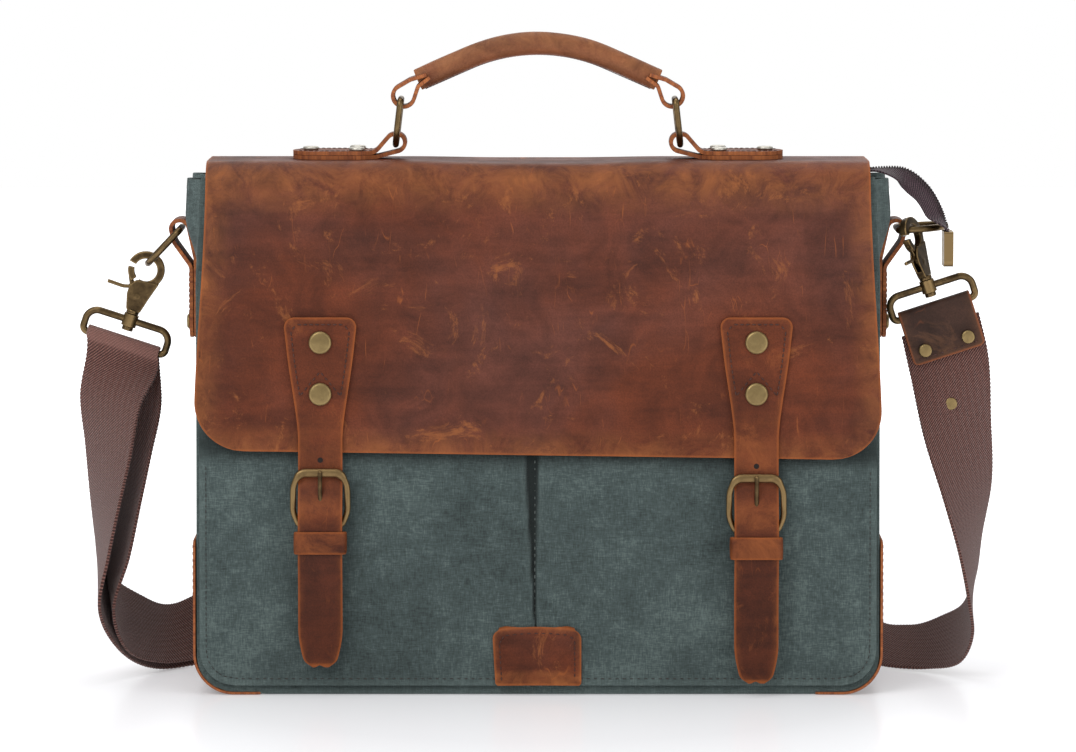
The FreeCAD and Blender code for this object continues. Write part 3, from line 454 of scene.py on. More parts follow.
def track(points, radii):
    # straight runs joined by tangent arcs through flat points, walked by distance
    corners = [Vector(point) for point in points]
    stops = []
    for index, corner in enumerate(corners):
        radius = radii[index]
        if radius == 0:
            stops.append((corner, corner, None, 0, 0))
            continue
        back = (corners[index - 1] - corner).normalized()
        ahead = (corners[index + 1] - corner).normalized()
        half = back.angle(ahead) / 2
        run = radius / math.tan(half)
        centre = corner + (back + ahead).normalized() * (radius / math.sin(half))
        side = 1 if ahead.x * back.y - ahead.y * back.x > 0 else -1
        stops.append((corner + back * run, corner + ahead * run, centre, radius,
                      side * (math.pi - 2 * half)))
    spans = []
    for index, (start, end, centre, radius, sweep) in enumerate(stops):
        if centre is not None:
            spans.append((radius * abs(sweep), start, centre, sweep))
        if index + 1 < len(stops):
            reach = stops[index + 1][0] - end
            if reach.length > 1e-6:
                spans.append((reach.length, end, None, reach.normalized()))
    length = sum(span[0] for span in spans)

    def at(distance):
        left = min(max(distance, 0), length)
        for size, start, centre, extra in spans:
            if left <= size or (size, start, centre, extra) == spans[-1]:
                break
            left -= size
        if centre is None:
            return start + extra * left, extra
        turn = extra * left / size
        radiusLine = start - centre
        turned = Vector((radiusLine.x * math.cos(turn) - radiusLine.y * math.sin(turn),
                         radiusLine.x * math.sin(turn) + radiusLine.y * math.cos(turn)))
        heading = Vector((-turned.y, turned.x)).normalized() * (1 if extra > 0 else -1)
        return centre + turned, heading

    return at, length


def eased(v):
    # crowds the rows towards both ends, where corners are rounded
    return (1 - math.cos(math.pi * v)) / 2


def roundEnd(distance, radius):
    # how far a rounded corner draws the edge in, at a distance from the end
    if distance >= radius:
        return 0.0
    share = 1 - distance / radius
    return radius * (1 - math.sqrt(max(0.0, 1 - share * share)))


def between(value, low, high):
    share = min(1.0, max(0.0, (value - low) / (high - low)))
    return share * share * (3 - 2 * share)


def addStitch(bm, middle, heading, outward, length=2.7, width=0.75, height=0.5):
    side = outward.cross(heading).normalized()
    turn = Matrix((heading.normalized(), side, outward.normalized())).transposed().to_4x4()
    size = Matrix.Diagonal((length * mm, width * mm, height * mm, 1))
    bmesh.ops.create_uvsphere(bm, u_segments=6, v_segments=4, radius=0.5,
                              matrix=Matrix.Translation(middle) @ turn @ size)


def stitchLine(bm, points, outward, pitch=3.6, lift=0.1, **sizes):
    # a row of stitches along a polyline, outward is a vector or a function of the point
    for start, end in zip(points, points[1:]):
        reach = end - start
        count = max(1, round(reach.length / (pitch * mm)))
        for index in range(count):
            middle = start + reach * ((index + 0.5) / count)
            up = outward(middle) if callable(outward) else outward
            addStitch(bm, middle + up * (lift * mm), reach.normalized(), up, **sizes)


def addCap(bm, middle, outward, radius, height):
    # a flat-topped rivet cap with a rounded edge, spun from half its outline
    outline = [(0, height), (0.78, height), (0.87, 0.9 * height), (0.96, 0.66 * height),
               (1.0, 0.38 * height), (1.0, -0.2 * height), (0.93, -0.45 * height)]
    turn = outward.normalized().to_track_quat("Z", "Y").to_matrix().to_4x4()
    place = Matrix.Translation(middle) @ turn
    points = []
    for share, rise in outline:
        points.append(bm.verts.new(place @ Vector((share * radius * mm, 0, rise * mm))))
    edges = [bm.edges.new(pair) for pair in zip(points, points[1:])]
    axis = place.to_3x3() @ Vector((0, 0, 1))
    bmesh.ops.spin(bm, geom=points + edges, cent=middle, axis=axis, angle=2 * math.pi, steps=28,
                   use_merge=True)
    near = [vertex for vertex in bm.verts if (vertex.co - middle).length < (height + 0.3) * mm
            and vertex.is_valid]
    bmesh.ops.remove_doubles(bm, verts=near, dist=0.00001)


# the flap
flap = {"thickness": 2.4, "frontGap": 3.7, "backGap": -0.3, "top": 294.8, "bend": 13, "halfTop": 184,
        "halfLow": 191, "leftEdge": 136.7, "rightEdge": 131.3, "cornerRadius": 28, "backLow": 240}


def flapEdge(x):
    share = (x + flap["halfLow"]) / (2 * flap["halfLow"])
    return flap["leftEdge"] + share * (flap["rightEdge"] - flap["leftEdge"])


def flapCorner(gap):
    t = (flap["top"] - gap * leanSin) / leanCos
    return onFront(0, t, gap) / mm


frontCorner = flapCorner(flap["frontGap"])
backCorner = flapCorner(flap["backGap"])
flapLow = onFront(0, 100, flap["frontGap"]) / mm
flapBackLow = onFront(0, flap["backLow"], flap["backGap"]) / mm
frontWalk, frontLength = track([(0, flap["top"]), (frontCorner.y, flap["top"]), (flapLow.y, flapLow.z)],
                               [0, flap["bend"], 0])
backWalk, backLength = track([(0, flap["top"]), (-backCorner.y, flap["top"]),
                              (-flapBackLow.y, flapBackLow.z)], [0, flap["bend"], 0])


def leatherRoll(x, z, size, depth):
    return depth * noise.noise(Vector((x / size, z / size, 3.7)))


def flapFrontPlace(u, v):
    side = 2 * u - 1
    nearHalf = flap["halfLow"] if v > 0.5 else flap["halfTop"]
    reach = frontLength - (flapEdge(side * nearHalf) - 100)
    row = 1 - (1 - v) ** 1.25
    distance = row * reach
    fromEnd = reach - distance
    half = flap["halfTop"] + (flap["halfLow"] - flap["halfTop"]) * between(distance, 30, reach)
    inset = roundEnd(fromEnd, flap["cornerRadius"])
    x = side * (half - inset)
    reach = frontLength - (flapEdge(x) - 100)
    distance = row * reach
    point, heading = frontWalk(distance)
    outward = Vector((heading.y, -heading.x))
    down = between(distance, 30, 75)
    swell = leatherRoll(x, distance, 95, 0.9) + leatherRoll(x, distance + 300, 38, 0.35)
    curl = 1.6 * between(abs(x), 120, 190) * between(distance, 90, reach)
    sag = -1.3 * (1 - between(abs(x), 20, 72)) * (1 - down)
    point = point + outward * (down * (0.3 + swell + curl) + sag)
    rim = min(half - inset - abs(x), reach - distance)
    crest = 1 - min(1, abs(distance - 38) / 22)
    wear = max(crest * 0.9, 0.8 * (1 - min(1, rim / 16)))
    return Vector((x, point.x, point.y)) * mm, rim, wear


def flapBackPlace(u, v):
    side = 2 * u - 1
    distance = v * backLength
    half = flap["halfTop"] - roundEnd(backLength - distance, 6)
    x = side * half
    point, heading = backWalk(distance)
    outward = Vector((-heading.y, heading.x))
    sag = -1.3 * (1 - between(abs(x), 20, 72)) * (1 - between(distance, 10, 30))
    point = point + outward * sag
    rim = min(half - abs(x), backLength - distance)
    crest = 1 - min(1, abs(distance - 30) / 18)
    return Vector((x, point.x, point.y)) * mm, rim, max(0.6 * crest, 0.7 * (1 - min(1, rim / 14)))


def makeFlap():
    seam = lambda first, second: first[1] < 0.001 and second[1] < 0.001
    front = addPiece("flapFrontLeather", sheetMesh(132, 96, flapFrontPlace, seam), [hide, cutEdge],
                     nodes=["flap_front"])
    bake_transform(front)
    thicken(front, flap["thickness"], 0.7)
    back = addPiece("flapBackLeather", sheetMesh(132, 44, flapBackPlace, seam), [hide, cutEdge],
                    nodes=["flap_back", "flap_top"])
    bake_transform(back)
    thicken(back, flap["thickness"], 0.7)
    bm = bmesh.new()
    line = [onBack(x, flap["backLow"] + 4.5, 1.0) for x in range(-178, 179, 4)]
    stitchLine(bm, line, Vector((0, leanCos, leanSin)))
    line = [onBack(x, flap["backLow"] + 10.5, 1.0) for x in range(-178, 179, 4)]
    stitchLine(bm, line, Vector((0, leanCos, leanSin)))
    addPiece("flapBackStitching", bm, [brownThread], "bag")
    print("flap made")


makeFlap()


# the canvas body
pocket = {"thickness": 1.4, "half": 188.2, "low": 5.5, "high": 236, "cornerRadius": 20}
# soft folds of the cloth: from (x, t) to (x, t), width and height
pocketFolds = [((-95, 126), (-28, 84), 7, 1.1), ((-60, 132), (-18, 108), 5, 0.9),
               ((28, 128), (92, 92), 8, 1.0), ((18, 118), (60, 60), 9, 0.7),
               ((-178, 112), (-142, 76), 8, 1.1), ((-182, 60), (-150, 30), 9, 0.9),
               ((150, 120), (181, 66), 8, 1.2), ((139, 70), (178, 40), 7, 0.8),
               ((-70, 58), (-36, 20), 9, 0.7), ((44, 34), (100, 14), 8, 0.8),
               ((-112, 24), (-50, 12), 6, 0.8), ((62, 140), (100, 118), 5, 0.9),
               ((-40, 70), (-8, 92), 6, 0.7), ((10, 92), (30, 130), 5, 0.6)]


def foldHeight(x, t, folds):
    total = 0.0
    here = Vector((x, t))
    for start, end, width, height in folds:
        first = Vector(start)
        reach = Vector(end) - first
        share = min(1, max(0, (here - first).dot(reach) / reach.length_squared))
        wander = 2.5 * noise.noise(Vector((x / 17, t / 17, height * 9)))
        away = (here - first - reach * share).length + wander
        fade = math.sin(math.pi * min(1, max(0, share * 0.9 + 0.05)))
        total += height * fade * math.exp(-(away / width) ** 2)
    return total


def cloth(x, t, seed, depth):
    large = noise.noise(Vector((x / 62, t / 62, seed)))
    small = noise.noise(Vector((x / 21, t / 21, seed + 5)))
    fine = noise.noise(Vector((x / 8, t / 8, seed + 9)))
    return depth * (0.62 * large + 0.3 * small + 0.1 * fine)


def pleatShare(t):
    return max(0.0, t - 36) / 100


def pleatCentre(t):
    return -1.5 - 2.1 * pleatShare(t)


def pleatHalf(t):
    return 0.7 + 4.0 * pleatShare(t)


def pocketPlace(u, v):
    side = 2 * u - 1
    reach = pocket["high"] - pocket["low"]
    row = v ** 1.15
    rise = row * reach
    inset = roundEnd(rise, pocket["cornerRadius"])
    half = pocket["half"] - inset
    x = side * half
    t = pocket["low"] + rise
    rim = min(half - abs(x), rise)
    free = between(rim, 0, 22)
    underFlap = between(t, 122, 146)
    n = -0.4 + free * (1 - underFlap) * (0.9 + cloth(x, t, 1.3, 1.6) + foldHeight(x, t, pocketFolds))
    n = min(n, 2.9) if t < 118 else min(n, 1.2)
    fromPleat = abs(x - pleatCentre(t)) / pleatHalf(t)
    # the groove sinks the cloth into the pleat, and the same share paints it dark as painted shade
    groove = (1 - between(fromPleat, 0.72, 1.05)) * between(t, 33, 39)
    lip = math.exp(-((fromPleat - 1.3) / 0.25) ** 2) * between(t, 34, 42) * (1 - underFlap)
    n += 0.5 * lip - 2.1 * groove
    wear = max(0.55 * (1 - min(1, rim / 7)), 0.35 * between(n, 1.4, 2.4), 0.3 * lip)
    edgeGap = flapEdge(x) - t
    ripple = 5 + 5 * noise.noise(Vector((x / 50, 8.1, 0)))
    # painted shadow of the flap: the cloth is painted darker in a band around the flap's lower edge,
    # strongest just under it
    shade = 0.7 * between(edgeGap, 6 + ripple, -2) * between(edgeGap, -22, -3)
    return onFront(x, t, n), rim, wear, max(0.96 * groove, shade)


def plainPanel(place, t0, t1, half, radius, seed, base, depth):
    def at(u, v):
        side = 2 * u - 1
        rise = v * (t1 - t0)
        wide = half(t0 + rise) - roundEnd(rise, radius)
        x = side * wide
        t = t0 + rise
        rim = min(wide - abs(x), rise, t1 - t)
        n = base + between(rim, 0, 25) * cloth(x, t, seed, depth)
        return place(x, t, n), rim, 0.5 * (1 - min(1, rim / 6))
    return at


def bodyHalf(t):
    return bag["half"] - 3 * between(t, 228, 288)


def makeCanvas():
    front = addPiece("pocketCanvas", sheetMesh(300, 120, pocketPlace), [canvas], "bag",
                     ["pocket_panel"])
    thicken(front, pocket["thickness"], 0.4, False)
    inner = plainPanel(onFront, 0.6, 288, bodyHalf, 21, 4.1, -3.1, 0.2)
    panel = addPiece("frontCanvas", sheetMesh(60, 60, inner), [canvas], "bag", ["front_panel"])
    thicken(panel, 1.2, 0.4, False)
    back = plainPanel(onBack, 0.6, 284, bodyHalf, 21, 7.7, -2.2, 1.6)
    panel = addPiece("backCanvas", sheetMesh(120, 90, back), [canvas], "bag", ["back_panel"])
    thicken(panel, 1.4, 0.4, False)
    # rows of stitching: round the pocket and along the pleat
    bm = bmesh.new()
    out = Vector((0, -leanCos, leanSin))
    edge = [onFront(-184.5 + roundEnd(t - 9, 17), t, 0.9) for t in range(128, 9, -3)]
    edge += [onFront(x, 9.4, 0.9) for x in range(-166, 167, 4)]
    edge += [onFront(184.5 - roundEnd(t - 9, 17), t, 0.9) for t in range(11, 128, 3)]
    stitchLine(bm, edge, out, 3.0, 0.0, length=2.2, width=0.5, height=0.4)
    addPiece("pocketStitching", bm, [darkThread], "bag")
    bm = bmesh.new()
    line = [onFront(-1.7, t, -1.55) for t in range(40, 134, 4)]
    stitchLine(bm, line, out, 3.6, 0.2, length=2.4, width=0.7, height=0.7)
    addPiece("pleatStitching", bm, [paleThread], "bag")


makeCanvas()


def gussetPath(side):
    points = [(side * 186, 286), (side * 189, 230), (side * 189, 2.8), (side * 152.6, 2.8)]
    return track(points, [0, 40, 20, 0])


def makeGusset(sideName):
    side = -1 if sideName == "left" else 1
    walk, length = gussetPath(side)

    def place(u, v):
        point, heading = walk(v * length)
        outward = Vector((-heading.y, heading.x))
        if outward.dot(Vector((side, -0.2))) < 0:
            outward = -outward
        halfDepth = bag["halfDepth"] - 3.3 / leanCos - point.y * leanSin / leanCos
        across = 2 * u - 1
        y = across * halfDepth
        edge = halfDepth - abs(y)
        height = between(point.y, 4, 40)
        crown = between(edge, 0, 14) * height
        soft = cloth(y * 2.2, point.y, 11 + side, 2.0)
        # the top corners fold outwards where the tab holds the middle flat
        ear = between(point.y, 236, 268) * between(abs(y), 12, 20) * between(edge, -1, 6)
        middle = 1 - between(abs(y), 11, 16)
        tabHold = middle * between(point.y, 190, 200)
        bulge = crown * (0.4 + soft * (1 - tabHold)) * (1 - tabHold) + ear * 8.0
        bulge = max(-0.9, bulge)
        point = point + outward * bulge
        return Vector((point.x, y, point.y)) * mm, edge, 0.4 * (1 - min(1, edge / 5))

    piece = addPiece(sideName + "GussetCanvas", sheetMesh(44, 130, place), [canvas], "bag",
                     [sideName + "_gusset"])
    thicken(piece, 1.6, 0.4, False)


def makeBase():
    base = {"halfLength": 152.6, "half": bag["halfDepth"] - 3.4}

    def place(u, v):
        x = (2 * u - 1) * base["halfLength"]
        y = (2 * v - 1) * base["half"]
        rim = min(base["halfLength"] - abs(x), base["half"] - abs(y))
        return Vector((x, y, 1.4)) * mm, rim, 0.3
    piece = addPiece("baseCanvas", sheetMesh(60, 20, place), [canvas], "bag", ["base_panel"])
    thicken(piece, 2.4, 0.5, False)


def makeGuard(sideName):
    side = -1 if sideName == "left" else 1
    guard = {"out": 191.2, "high": 86, "low": 0.9, "foot": 153, "bend": 22, "thickness": 1.5}
    walk, length = track([(side * guard["out"], guard["high"]), (side * guard["out"], guard["low"]),
                          (side * guard["foot"], guard["low"])], [0, guard["bend"], 0])

    def place(u, v):
        point, heading = walk(v * length)
        halfDepth = bag["halfDepth"] - 1.2 - point.y * leanSin / leanCos
        y = (2 * u - 1) * (halfDepth - roundEnd(min(v, 1 - v) * length, 4))
        rim = min(halfDepth - abs(y), v * length)
        return Vector((point.x, y, point.y)) * mm, rim, 0.5 * (1 - min(1, rim / 8))
    piece = addPiece(sideName + "CornerGuard", sheetMesh(36, 60, place), [strapHide, cutEdge],
                     "bag", ["corner_guards"])
    thicken(piece, guard["thickness"], 0.5)
    bm = bmesh.new()
    for sign in (-1, 1):
        line = []
        for index in range(30):
            point, heading = walk(2 + index * (length - 5) / 29)
            outward = Vector((side * 0.9, 0)) if point.y > 24 else Vector((side * 0.5, -0.5))
            halfDepth = bag["halfDepth"] - 4.4 - point.y * leanSin / leanCos
            line.append(Vector((point.x + outward.x, sign * halfDepth, max(point.y, guard["low"]))) * mm)
        stitchLine(bm, line, Vector((side, 0, -0.1)).normalized(), 3.2, 0.0)
    for index in range(11):
        y = -38 + index * 7.6
        addStitch(bm, Vector((side * 192.1, y, 82)) * mm, Vector((0, 1, 0)), Vector((side, 0, 0)))
    addPiece(sideName + "GuardStitching", bm, [brownThread], "bag")


def makeLining():
    def place(u, v):
        angle = 2 * math.pi * u
        across = max(-1, min(1, 1.5 * math.cos(angle)))
        depth = max(-1, min(1, 1.5 * math.sin(angle)))
        z = 5.2 + v * 276
        halfDepth = bag["halfDepth"] - 4.9 - z * leanSin / leanCos
        half = bodyHalf(z) - 4.4 - roundEnd(z - 4.4, 17)
        soft = cloth(across * 120, z, 21, 0.5)
        x = across * (half - 0.6 + soft * 0.4)
        y = depth * (halfDepth - 0.6 + soft * 0.4)
        return Vector((x, y, z)) * mm, 10, 0.0
    bm = sheetMesh(96, 60, place, closeAcross=True)
    bottom = [edge for edge in bm.edges if edge.is_boundary and edge.verts[0].co.z < 0.01]
    bmesh.ops.holes_fill(bm, edges=bottom, sides=0)
    bmesh.ops.recalc_face_normals(bm, faces=bm.faces)
    addPiece("liningBag", bm, [liningCloth], "bag", ["lining"])


for name in ("left", "right"):
    makeGusset(name)
    makeGuard(name)
makeBase()
makeLining()


def makePatch():
    patch = {"left": -25.4, "right": 24.0, "low": 5.8, "high": 36.4, "rise": 2.0}

    def place(u, v):
        row = eased(v)
        height = patch["high"] - patch["low"]
        rise = row * height
        inset = roundEnd(height - rise, 5) + roundEnd(rise, 1.5)
        middle = (patch["left"] + patch["right"]) / 2
        half = (patch["right"] - patch["left"]) / 2 - inset
        side = 2 * u - 1
        taper = 1.8 * (1 - row) * (1 - u)
        x = middle + side * half + taper
        t = patch["low"] + rise + patch["rise"] * row * (1 - side * side)
        rim = min(half * (1 - abs(side)), rise, height - rise)
        n = 1.5 + 0.5 * (1 - side * side) + 0.25 * between(rim, 0, 4)
        return onFront(x, t, n), rim, 0.75 * (1 - min(1, rim / 4)) + 0.6 * between(t, 15, 12)
    piece = addPiece("bottomPatch", sheetMesh(40, 34, place), [hide, cutEdge], "bag",
                     ["centre_patch"])
    thicken(piece, 1.6, 0.5)
    bm = bmesh.new()
    out = Vector((0, -leanCos, leanSin))
    line = [onFront(-21.6 + 1.5 * (32 - t) / 26, t, 2.75) for t in range(8, 32, 3)]
    line += [onFront(x, 33.0 + 1.9 * (1 - (x / 22) ** 2), 3.0) for x in range(-19, 20, 4)]
    line += [onFront(20.4, t, 2.75) for t in range(31, 7, -3)]
    stitchLine(bm, line, out, 3.0, 0.1, length=2.3, width=0.7, height=0.5)
    addPiece("patchStitching", bm, [brownThread], "bag")


makePatch()
print("canvas body made")


# the buckled closures
closure = {"thickness": 2.7, "rest": 6.3, "over": 12.2, "half": 12.2, "top": 210.5, "bar": 94,
           "tail": {"left": 17.7, "right": 8.6}}


def strapHalf(t, tailEnd):
    wide = closure["half"]
    wide += 7.6 * between(t, 143, 212) ** 0.8 + 0.5 * between(t, 195, 211)
    wide -= 3.9 * max(0, 1 - (t - tailEnd) / 20) ** 1.7
    return wide


def makeStrap(sideName):
    middle = closureX[sideName]
    drop = closureDrop[sideName]
    tail = closure["tail"][sideName]
    walk, length = track([(closure["rest"], closure["top"]), (closure["rest"], 121 - drop),
                          (closure["over"], 101 - drop), (closure["over"], 79 - drop),
                          (9.0, 60 - drop), (8.0, tail)], [0, 14, 14, 20, 20, 0])

    def place(u, v):
        distance = length * eased(v)
        point, heading = walk(distance)
        outward = Vector((-heading.y, heading.x))
        if outward.x < 0:
            outward = -outward
        t = point.y
        half = strapHalf(t, tail) - roundEnd(distance, 6) - roundEnd(length - distance, 4.2)
        side = 2 * u - 1
        rim = min(half * (1 - abs(side)), distance, length - distance)
        crown = 0.35 * (1 - side * side) * between(t, 200, 120)
        tilt = leatherRoll(middle + t, t, 40, 0.5) * between(t, 80, 60)
        point = point + outward * (crown + tilt * side)
        wear = max(0.6 * (1 - min(1, rim / 4)), 0.85 * between(abs(t - 104 + drop), 12, 2),
                   0.5 * between(t, 165, 135) * between(t, 100, 125))
        return onFront(middle + side * half, point.y, point.x), rim, wear

    piece = addPiece(sideName + "ClosureStrap", sheetMesh(22, 190, place), [strapHide, cutEdge],
                     nodes=[sideName + "_strap_upper", sideName + "_strap_lower"])
    edge = flapEdge(middle)
    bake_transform(piece)
    thicken(piece, closure["thickness"], 0.6)
    # stitching inside the edge of the wide part, closed by a chevron over the lower rivet
    bm = bmesh.new()
    out = Vector((0, -leanCos, leanSin))
    n = closure["rest"] + closure["thickness"] / 2 + 0.05
    sides = [t for t in range(167, 205, 3)]
    line = [onFront(middle - strapHalf(t, tail) + 3.6, t, n) for t in sides]
    line += [onFront(middle - 13, 206.6, n), onFront(middle + 13, 206.6, n)]
    line += [onFront(middle + strapHalf(t, tail) - 3.6, t, n) for t in reversed(sides)]
    line += [onFront(middle, 180.5, n), onFront(middle - strapHalf(167, tail) + 3.6, 167, n)]
    stitchLine(bm, line, out, 3.3, 0.15, length=2.5, width=0.85, height=0.7)
    addPiece(sideName + "StrapStitching", bm, [brownThread], "flap_front")
    # the spare hole, a flat disc of painted shadow
    bm = bmesh.new()
    middleOfHole = onFront(middle, edge - 4.2, n + 0.42)
    turn = Matrix.Rotation(math.pi / 2 - bag["lean"], 4, "X")
    bmesh.ops.create_circle(bm, cap_ends=True, segments=24, radius=1.5 * mm,
                            matrix=Matrix.Translation(middleOfHole) @ turn)
    addPiece(sideName + "SpareHole", bm, [holeShadow], sideName + "_closure")


def makeKeeper(sideName):
    middle = closureX[sideName]
    drop = closureDrop[sideName]
    keeper = {"half": 13.6, "low": 2.9, "high": 14.7, "bend": 2.2, "t": 85.8, "halfWidth": 5.8,
              "thickness": 1.7}
    half, low, high, bend = [keeper[key] for key in ("half", "low", "high", "bend")]
    points = [(0, low), (half, low), (half, high), (-half, high), (-half, low), (0, low)]
    walk, length = track(points, [0, bend, bend, bend, bend, 0])

    def place(u, v):
        point, heading = walk(u * length)
        row = 2 * v - 1
        t = keeper["t"] - drop + row * keeper["halfWidth"]
        outward = Vector((heading.y, -heading.x))
        lean = 0.5 * math.sin(row * 2.2) * between(point.y, 10, 14)
        point = point + outward * (0.25 * (1 - row * row))
        rim = keeper["halfWidth"] * (1 - abs(row))
        return onFront(middle + point.x, t + lean, point.y), rim, 0.9
    bm = sheetMesh(88, 10, place, closeAcross=True)
    piece = addPiece(sideName + "KeeperLoop", bm, [strapHide, cutEdge],
                     sideName + "_keeper", [sideName + "_keeper"])
    thicken(piece, keeper["thickness"], 0.5)


def makeChape(sideName):
    middle = closureX[sideName]
    drop = closureDrop[sideName]
    chape = {"half": 11.9, "end": 49 - drop, "under": 4.95, "over": 9.85, "corner": 6,
             "slotHalf": 2.0, "thickness": 1.4}
    top = closure["bar"] - drop
    high = top + (chape["over"] - chape["under"]) / 2
    walk, length = track([(chape["under"], chape["end"]), (chape["under"], high),
                          (chape["over"], high), (chape["over"], top - 6), (6.6, top - 17),
                          (6.6, chape["end"])], [0, 2.44, 2.44, 8, 8, 0])

    def place(u, v):
        distance = v * length
        point, heading = walk(distance)
        half = chape["half"] - roundEnd(min(distance, length - distance), chape["corner"])
        side = 2 * u - 1
        return onFront(middle + side * half, point.y, point.x), half * (1 - abs(side)), 0.3
    bm = sheetMesh(12, 110, place)
    slot = [face for face in bm.faces
            if abs(face.calc_center_median().x / mm - middle) < chape["slotHalf"]
            and face.calc_center_median().z / mm > top - 4]
    bmesh.ops.delete(bm, geom=slot, context="FACES")
    piece = addPiece(sideName + "BuckleChape", bm, [strapHide, cutEdge],
                     sideName + "_closure", [sideName + "_buckle_chape"])
    thicken(piece, chape["thickness"], 0.0)


def makeBuckle(sideName):
    # one round-cornered frame of flattened rod, bowed at the sides, tilted about its bar
    buckle = {"tilt": math.radians(4.6), "rise": 7.4, "halfWidth": 1.65, "topExtra": 0.75,
              "halfThick": 1.6, "squareness": 0.8}
    bar = closure["bar"] - closureDrop[sideName]
    outline = [(0, 30.6), (11.2, 30.6), (15.0, 24), (15.2, 9), (11.6, 0.4), (0, 0.4)]
    outline += [(-x, rise) for x, rise in reversed(outline[1:-1])] + [outline[0]]
    walk, length = track(outline, [0, 5.5, 14, 14, 5.5, 0, 5.5, 14, 14, 5.5, 0])

    def squared(value):
        return math.copysign(abs(value) ** buckle["squareness"], value)

    def place(u, v):
        point, heading = walk(length * (v % 1))
        outward = Vector((heading.y, -heading.x))
        angle = 2 * math.pi * u
        top = between(point.y, 26, 30)
        flat = squared(math.cos(angle)) * (buckle["halfWidth"] + buckle["topExtra"] * top)
        thick = squared(math.sin(angle)) * buckle["halfThick"]
        x, rise = point + outward * flat
        t = bar + rise * math.cos(buckle["tilt"]) - thick * math.sin(buckle["tilt"])
        n = buckle["rise"] + rise * math.sin(buckle["tilt"]) + thick * math.cos(buckle["tilt"])
        return onFront(closureX[sideName] + x, t, n), 5, 0.0
    bm = sheetMesh(12, 120, place, closeAcross=True)
    bmesh.ops.recalc_face_normals(bm, faces=bm.faces)
    addPiece(sideName + "BuckleFrame", bm, [brass], sideName + "_closure",
             [sideName + "_buckle_frame"])


for name in ("left", "right"):
    makeStrap(name)
    makeBuckle(name)
    makeKeeper(name)
    makeChape(name)
print("closures made")


# the handle and its tabs
handle = {"apex": 369.3, "slope": 0.4391, "bend": 98, "end": 67.2, "bandThickness": 2.2}


def makeGrip():
    end = handle["end"]
    low = handle["apex"] - end * handle["slope"]
    walk, length = track([(-end, low), (0, handle["apex"]), (end, low)], [0, handle["bend"], 0])

    def skin(radius, first, last, lumps):
        def place(u, v):
            distance = first + (last - first) * v
            point, heading = walk(distance)
            side = Vector((-heading.y, heading.x))
            angle = 2 * math.pi * u
            swell = radius + 0.35 * math.sin(math.pi * distance / length)
            swell += lumps * noise.noise(Vector((distance / 26, math.sin(angle), math.cos(angle))))
            # the seam underneath is drawn in
            swell -= 0.7 * lumps * math.exp(-((abs(u - 0.75)) / 0.02) ** 2)
            point = point + side * (math.sin(angle) * swell)
            rim = min(distance, length - distance)
            wear = 0.5 + 0.4 * math.sin(angle) if rim > 3 else 0.9
            return Vector((point.x, math.cos(angle) * swell * 0.97, point.y)) * mm, rim, wear
        return place
    piece = addPiece("gripLeather", sheetMesh(48, 110, skin(6.1, 0, length, 0.3), closeAcross=True),
                     [gripHide, cutEdge], "handle", ["handle_grip"])
    thicken(piece, 1.8, 0.5, offset=-1.0)
    addPiece("gripCore", sheetMesh(24, 80, skin(3.8, -1, length + 1, 0.05), closeAcross=True),
             [rope], "handle", ["handle_core"])
    bm = bmesh.new()
    line = []
    for index in range(70):
        point, heading = walk(2 + (length - 4) * index / 69)
        point = point - Vector((-heading.y, heading.x)) * 6.35
        line.append(Vector((point.x, 1.6, point.y)) * mm)
    stitchLine(bm, line, Vector((0, 0.2, -1)).normalized(), 3.4, 0.0)
    addPiece("gripStitching", bm, [brownThread], "handle")


def bandPiece(name, walk, length, halfAt, body, nodes, rubbed, rows=90):
    # a leather band whose side view is a flat path in x and z, halfAt gives its half width
    def place(u, v):
        distance = v * length
        point, heading = walk(distance)
        half = halfAt(distance, point)
        side = 2 * u - 1
        rim = min(half * (1 - abs(side)), distance, length - distance)
        wear = max(rubbed, 0.7 * (1 - min(1, rim / 5)))
        return Vector((point.x, side * half, point.y)) * mm, rim, wear
    piece = addPiece(name, sheetMesh(14, rows, place), [strapHide, cutEdge], body, nodes)
    thicken(piece, handle["bandThickness"], 0.5)


def makeHandleLoop(sideName):
    side = -1 if sideName == "left" else 1
    start = Vector((-69.6, 338.6))
    down = Vector((-0.64, -0.768))
    across = Vector((-0.768, 0.64))
    middle = Vector((-74.5, 331.5)) + down * 6.5
    along = Vector((0.9157, 0.4021))
    inside = start + along * 9
    points = [inside + across * 1.2, start + across * 2.4, middle + across * 8.6, middle - across * 8.6,
              start - across * 3.4, inside - across * 1.2]
    points = [(-side * point.x, point.y) for point in points]
    walk, length = track(points, [0, 3, 5.8, 5.8, 3, 0])

    def half(distance, point):
        return 8.2 + 0.6 * math.cos(distance / 9)
    bandPiece(sideName + "HandleLoop", walk, length, half, "handle", ["handle_loops"], 0.8)


def makeHandleTab(sideName):
    side = -1 if sideName == "left" else 1
    low = 297.25
    high = low + 2.4
    end = 137
    points = [(end, low), (90, low), (73.2, 301.5), (75.5, 310), (82.5, 309.5), (91, high), (end, high)]
    walk, length = track([(side * x, z) for x, z in points], [0, 6, 5, 4.2, 4.2, 6, 0])

    def half(distance, point):
        out = abs(point.x)
        wide = 6.2 + 9.6 * between(out, 86, 100)
        return wide - roundEnd(end - out, 15.5) if out > 110 else wide
    bandPiece(sideName + "HandleTab", walk, length, half, "flap_top", ["handle_tabs"], 0.6, 150)
    bm = bmesh.new()
    z = high + 1.15
    for sign in (-1, 1):
        line = [Vector((side * x, sign * (half(0, Vector((x, 0))) - 3), z)) * mm
                for x in range(92, 136, 3)]
        stitchLine(bm, line, Vector((0, 0, 1)), 3.2, 0.1)
    addPiece(sideName + "HandleTabStitching", bm, [brownThread], "flap_top")


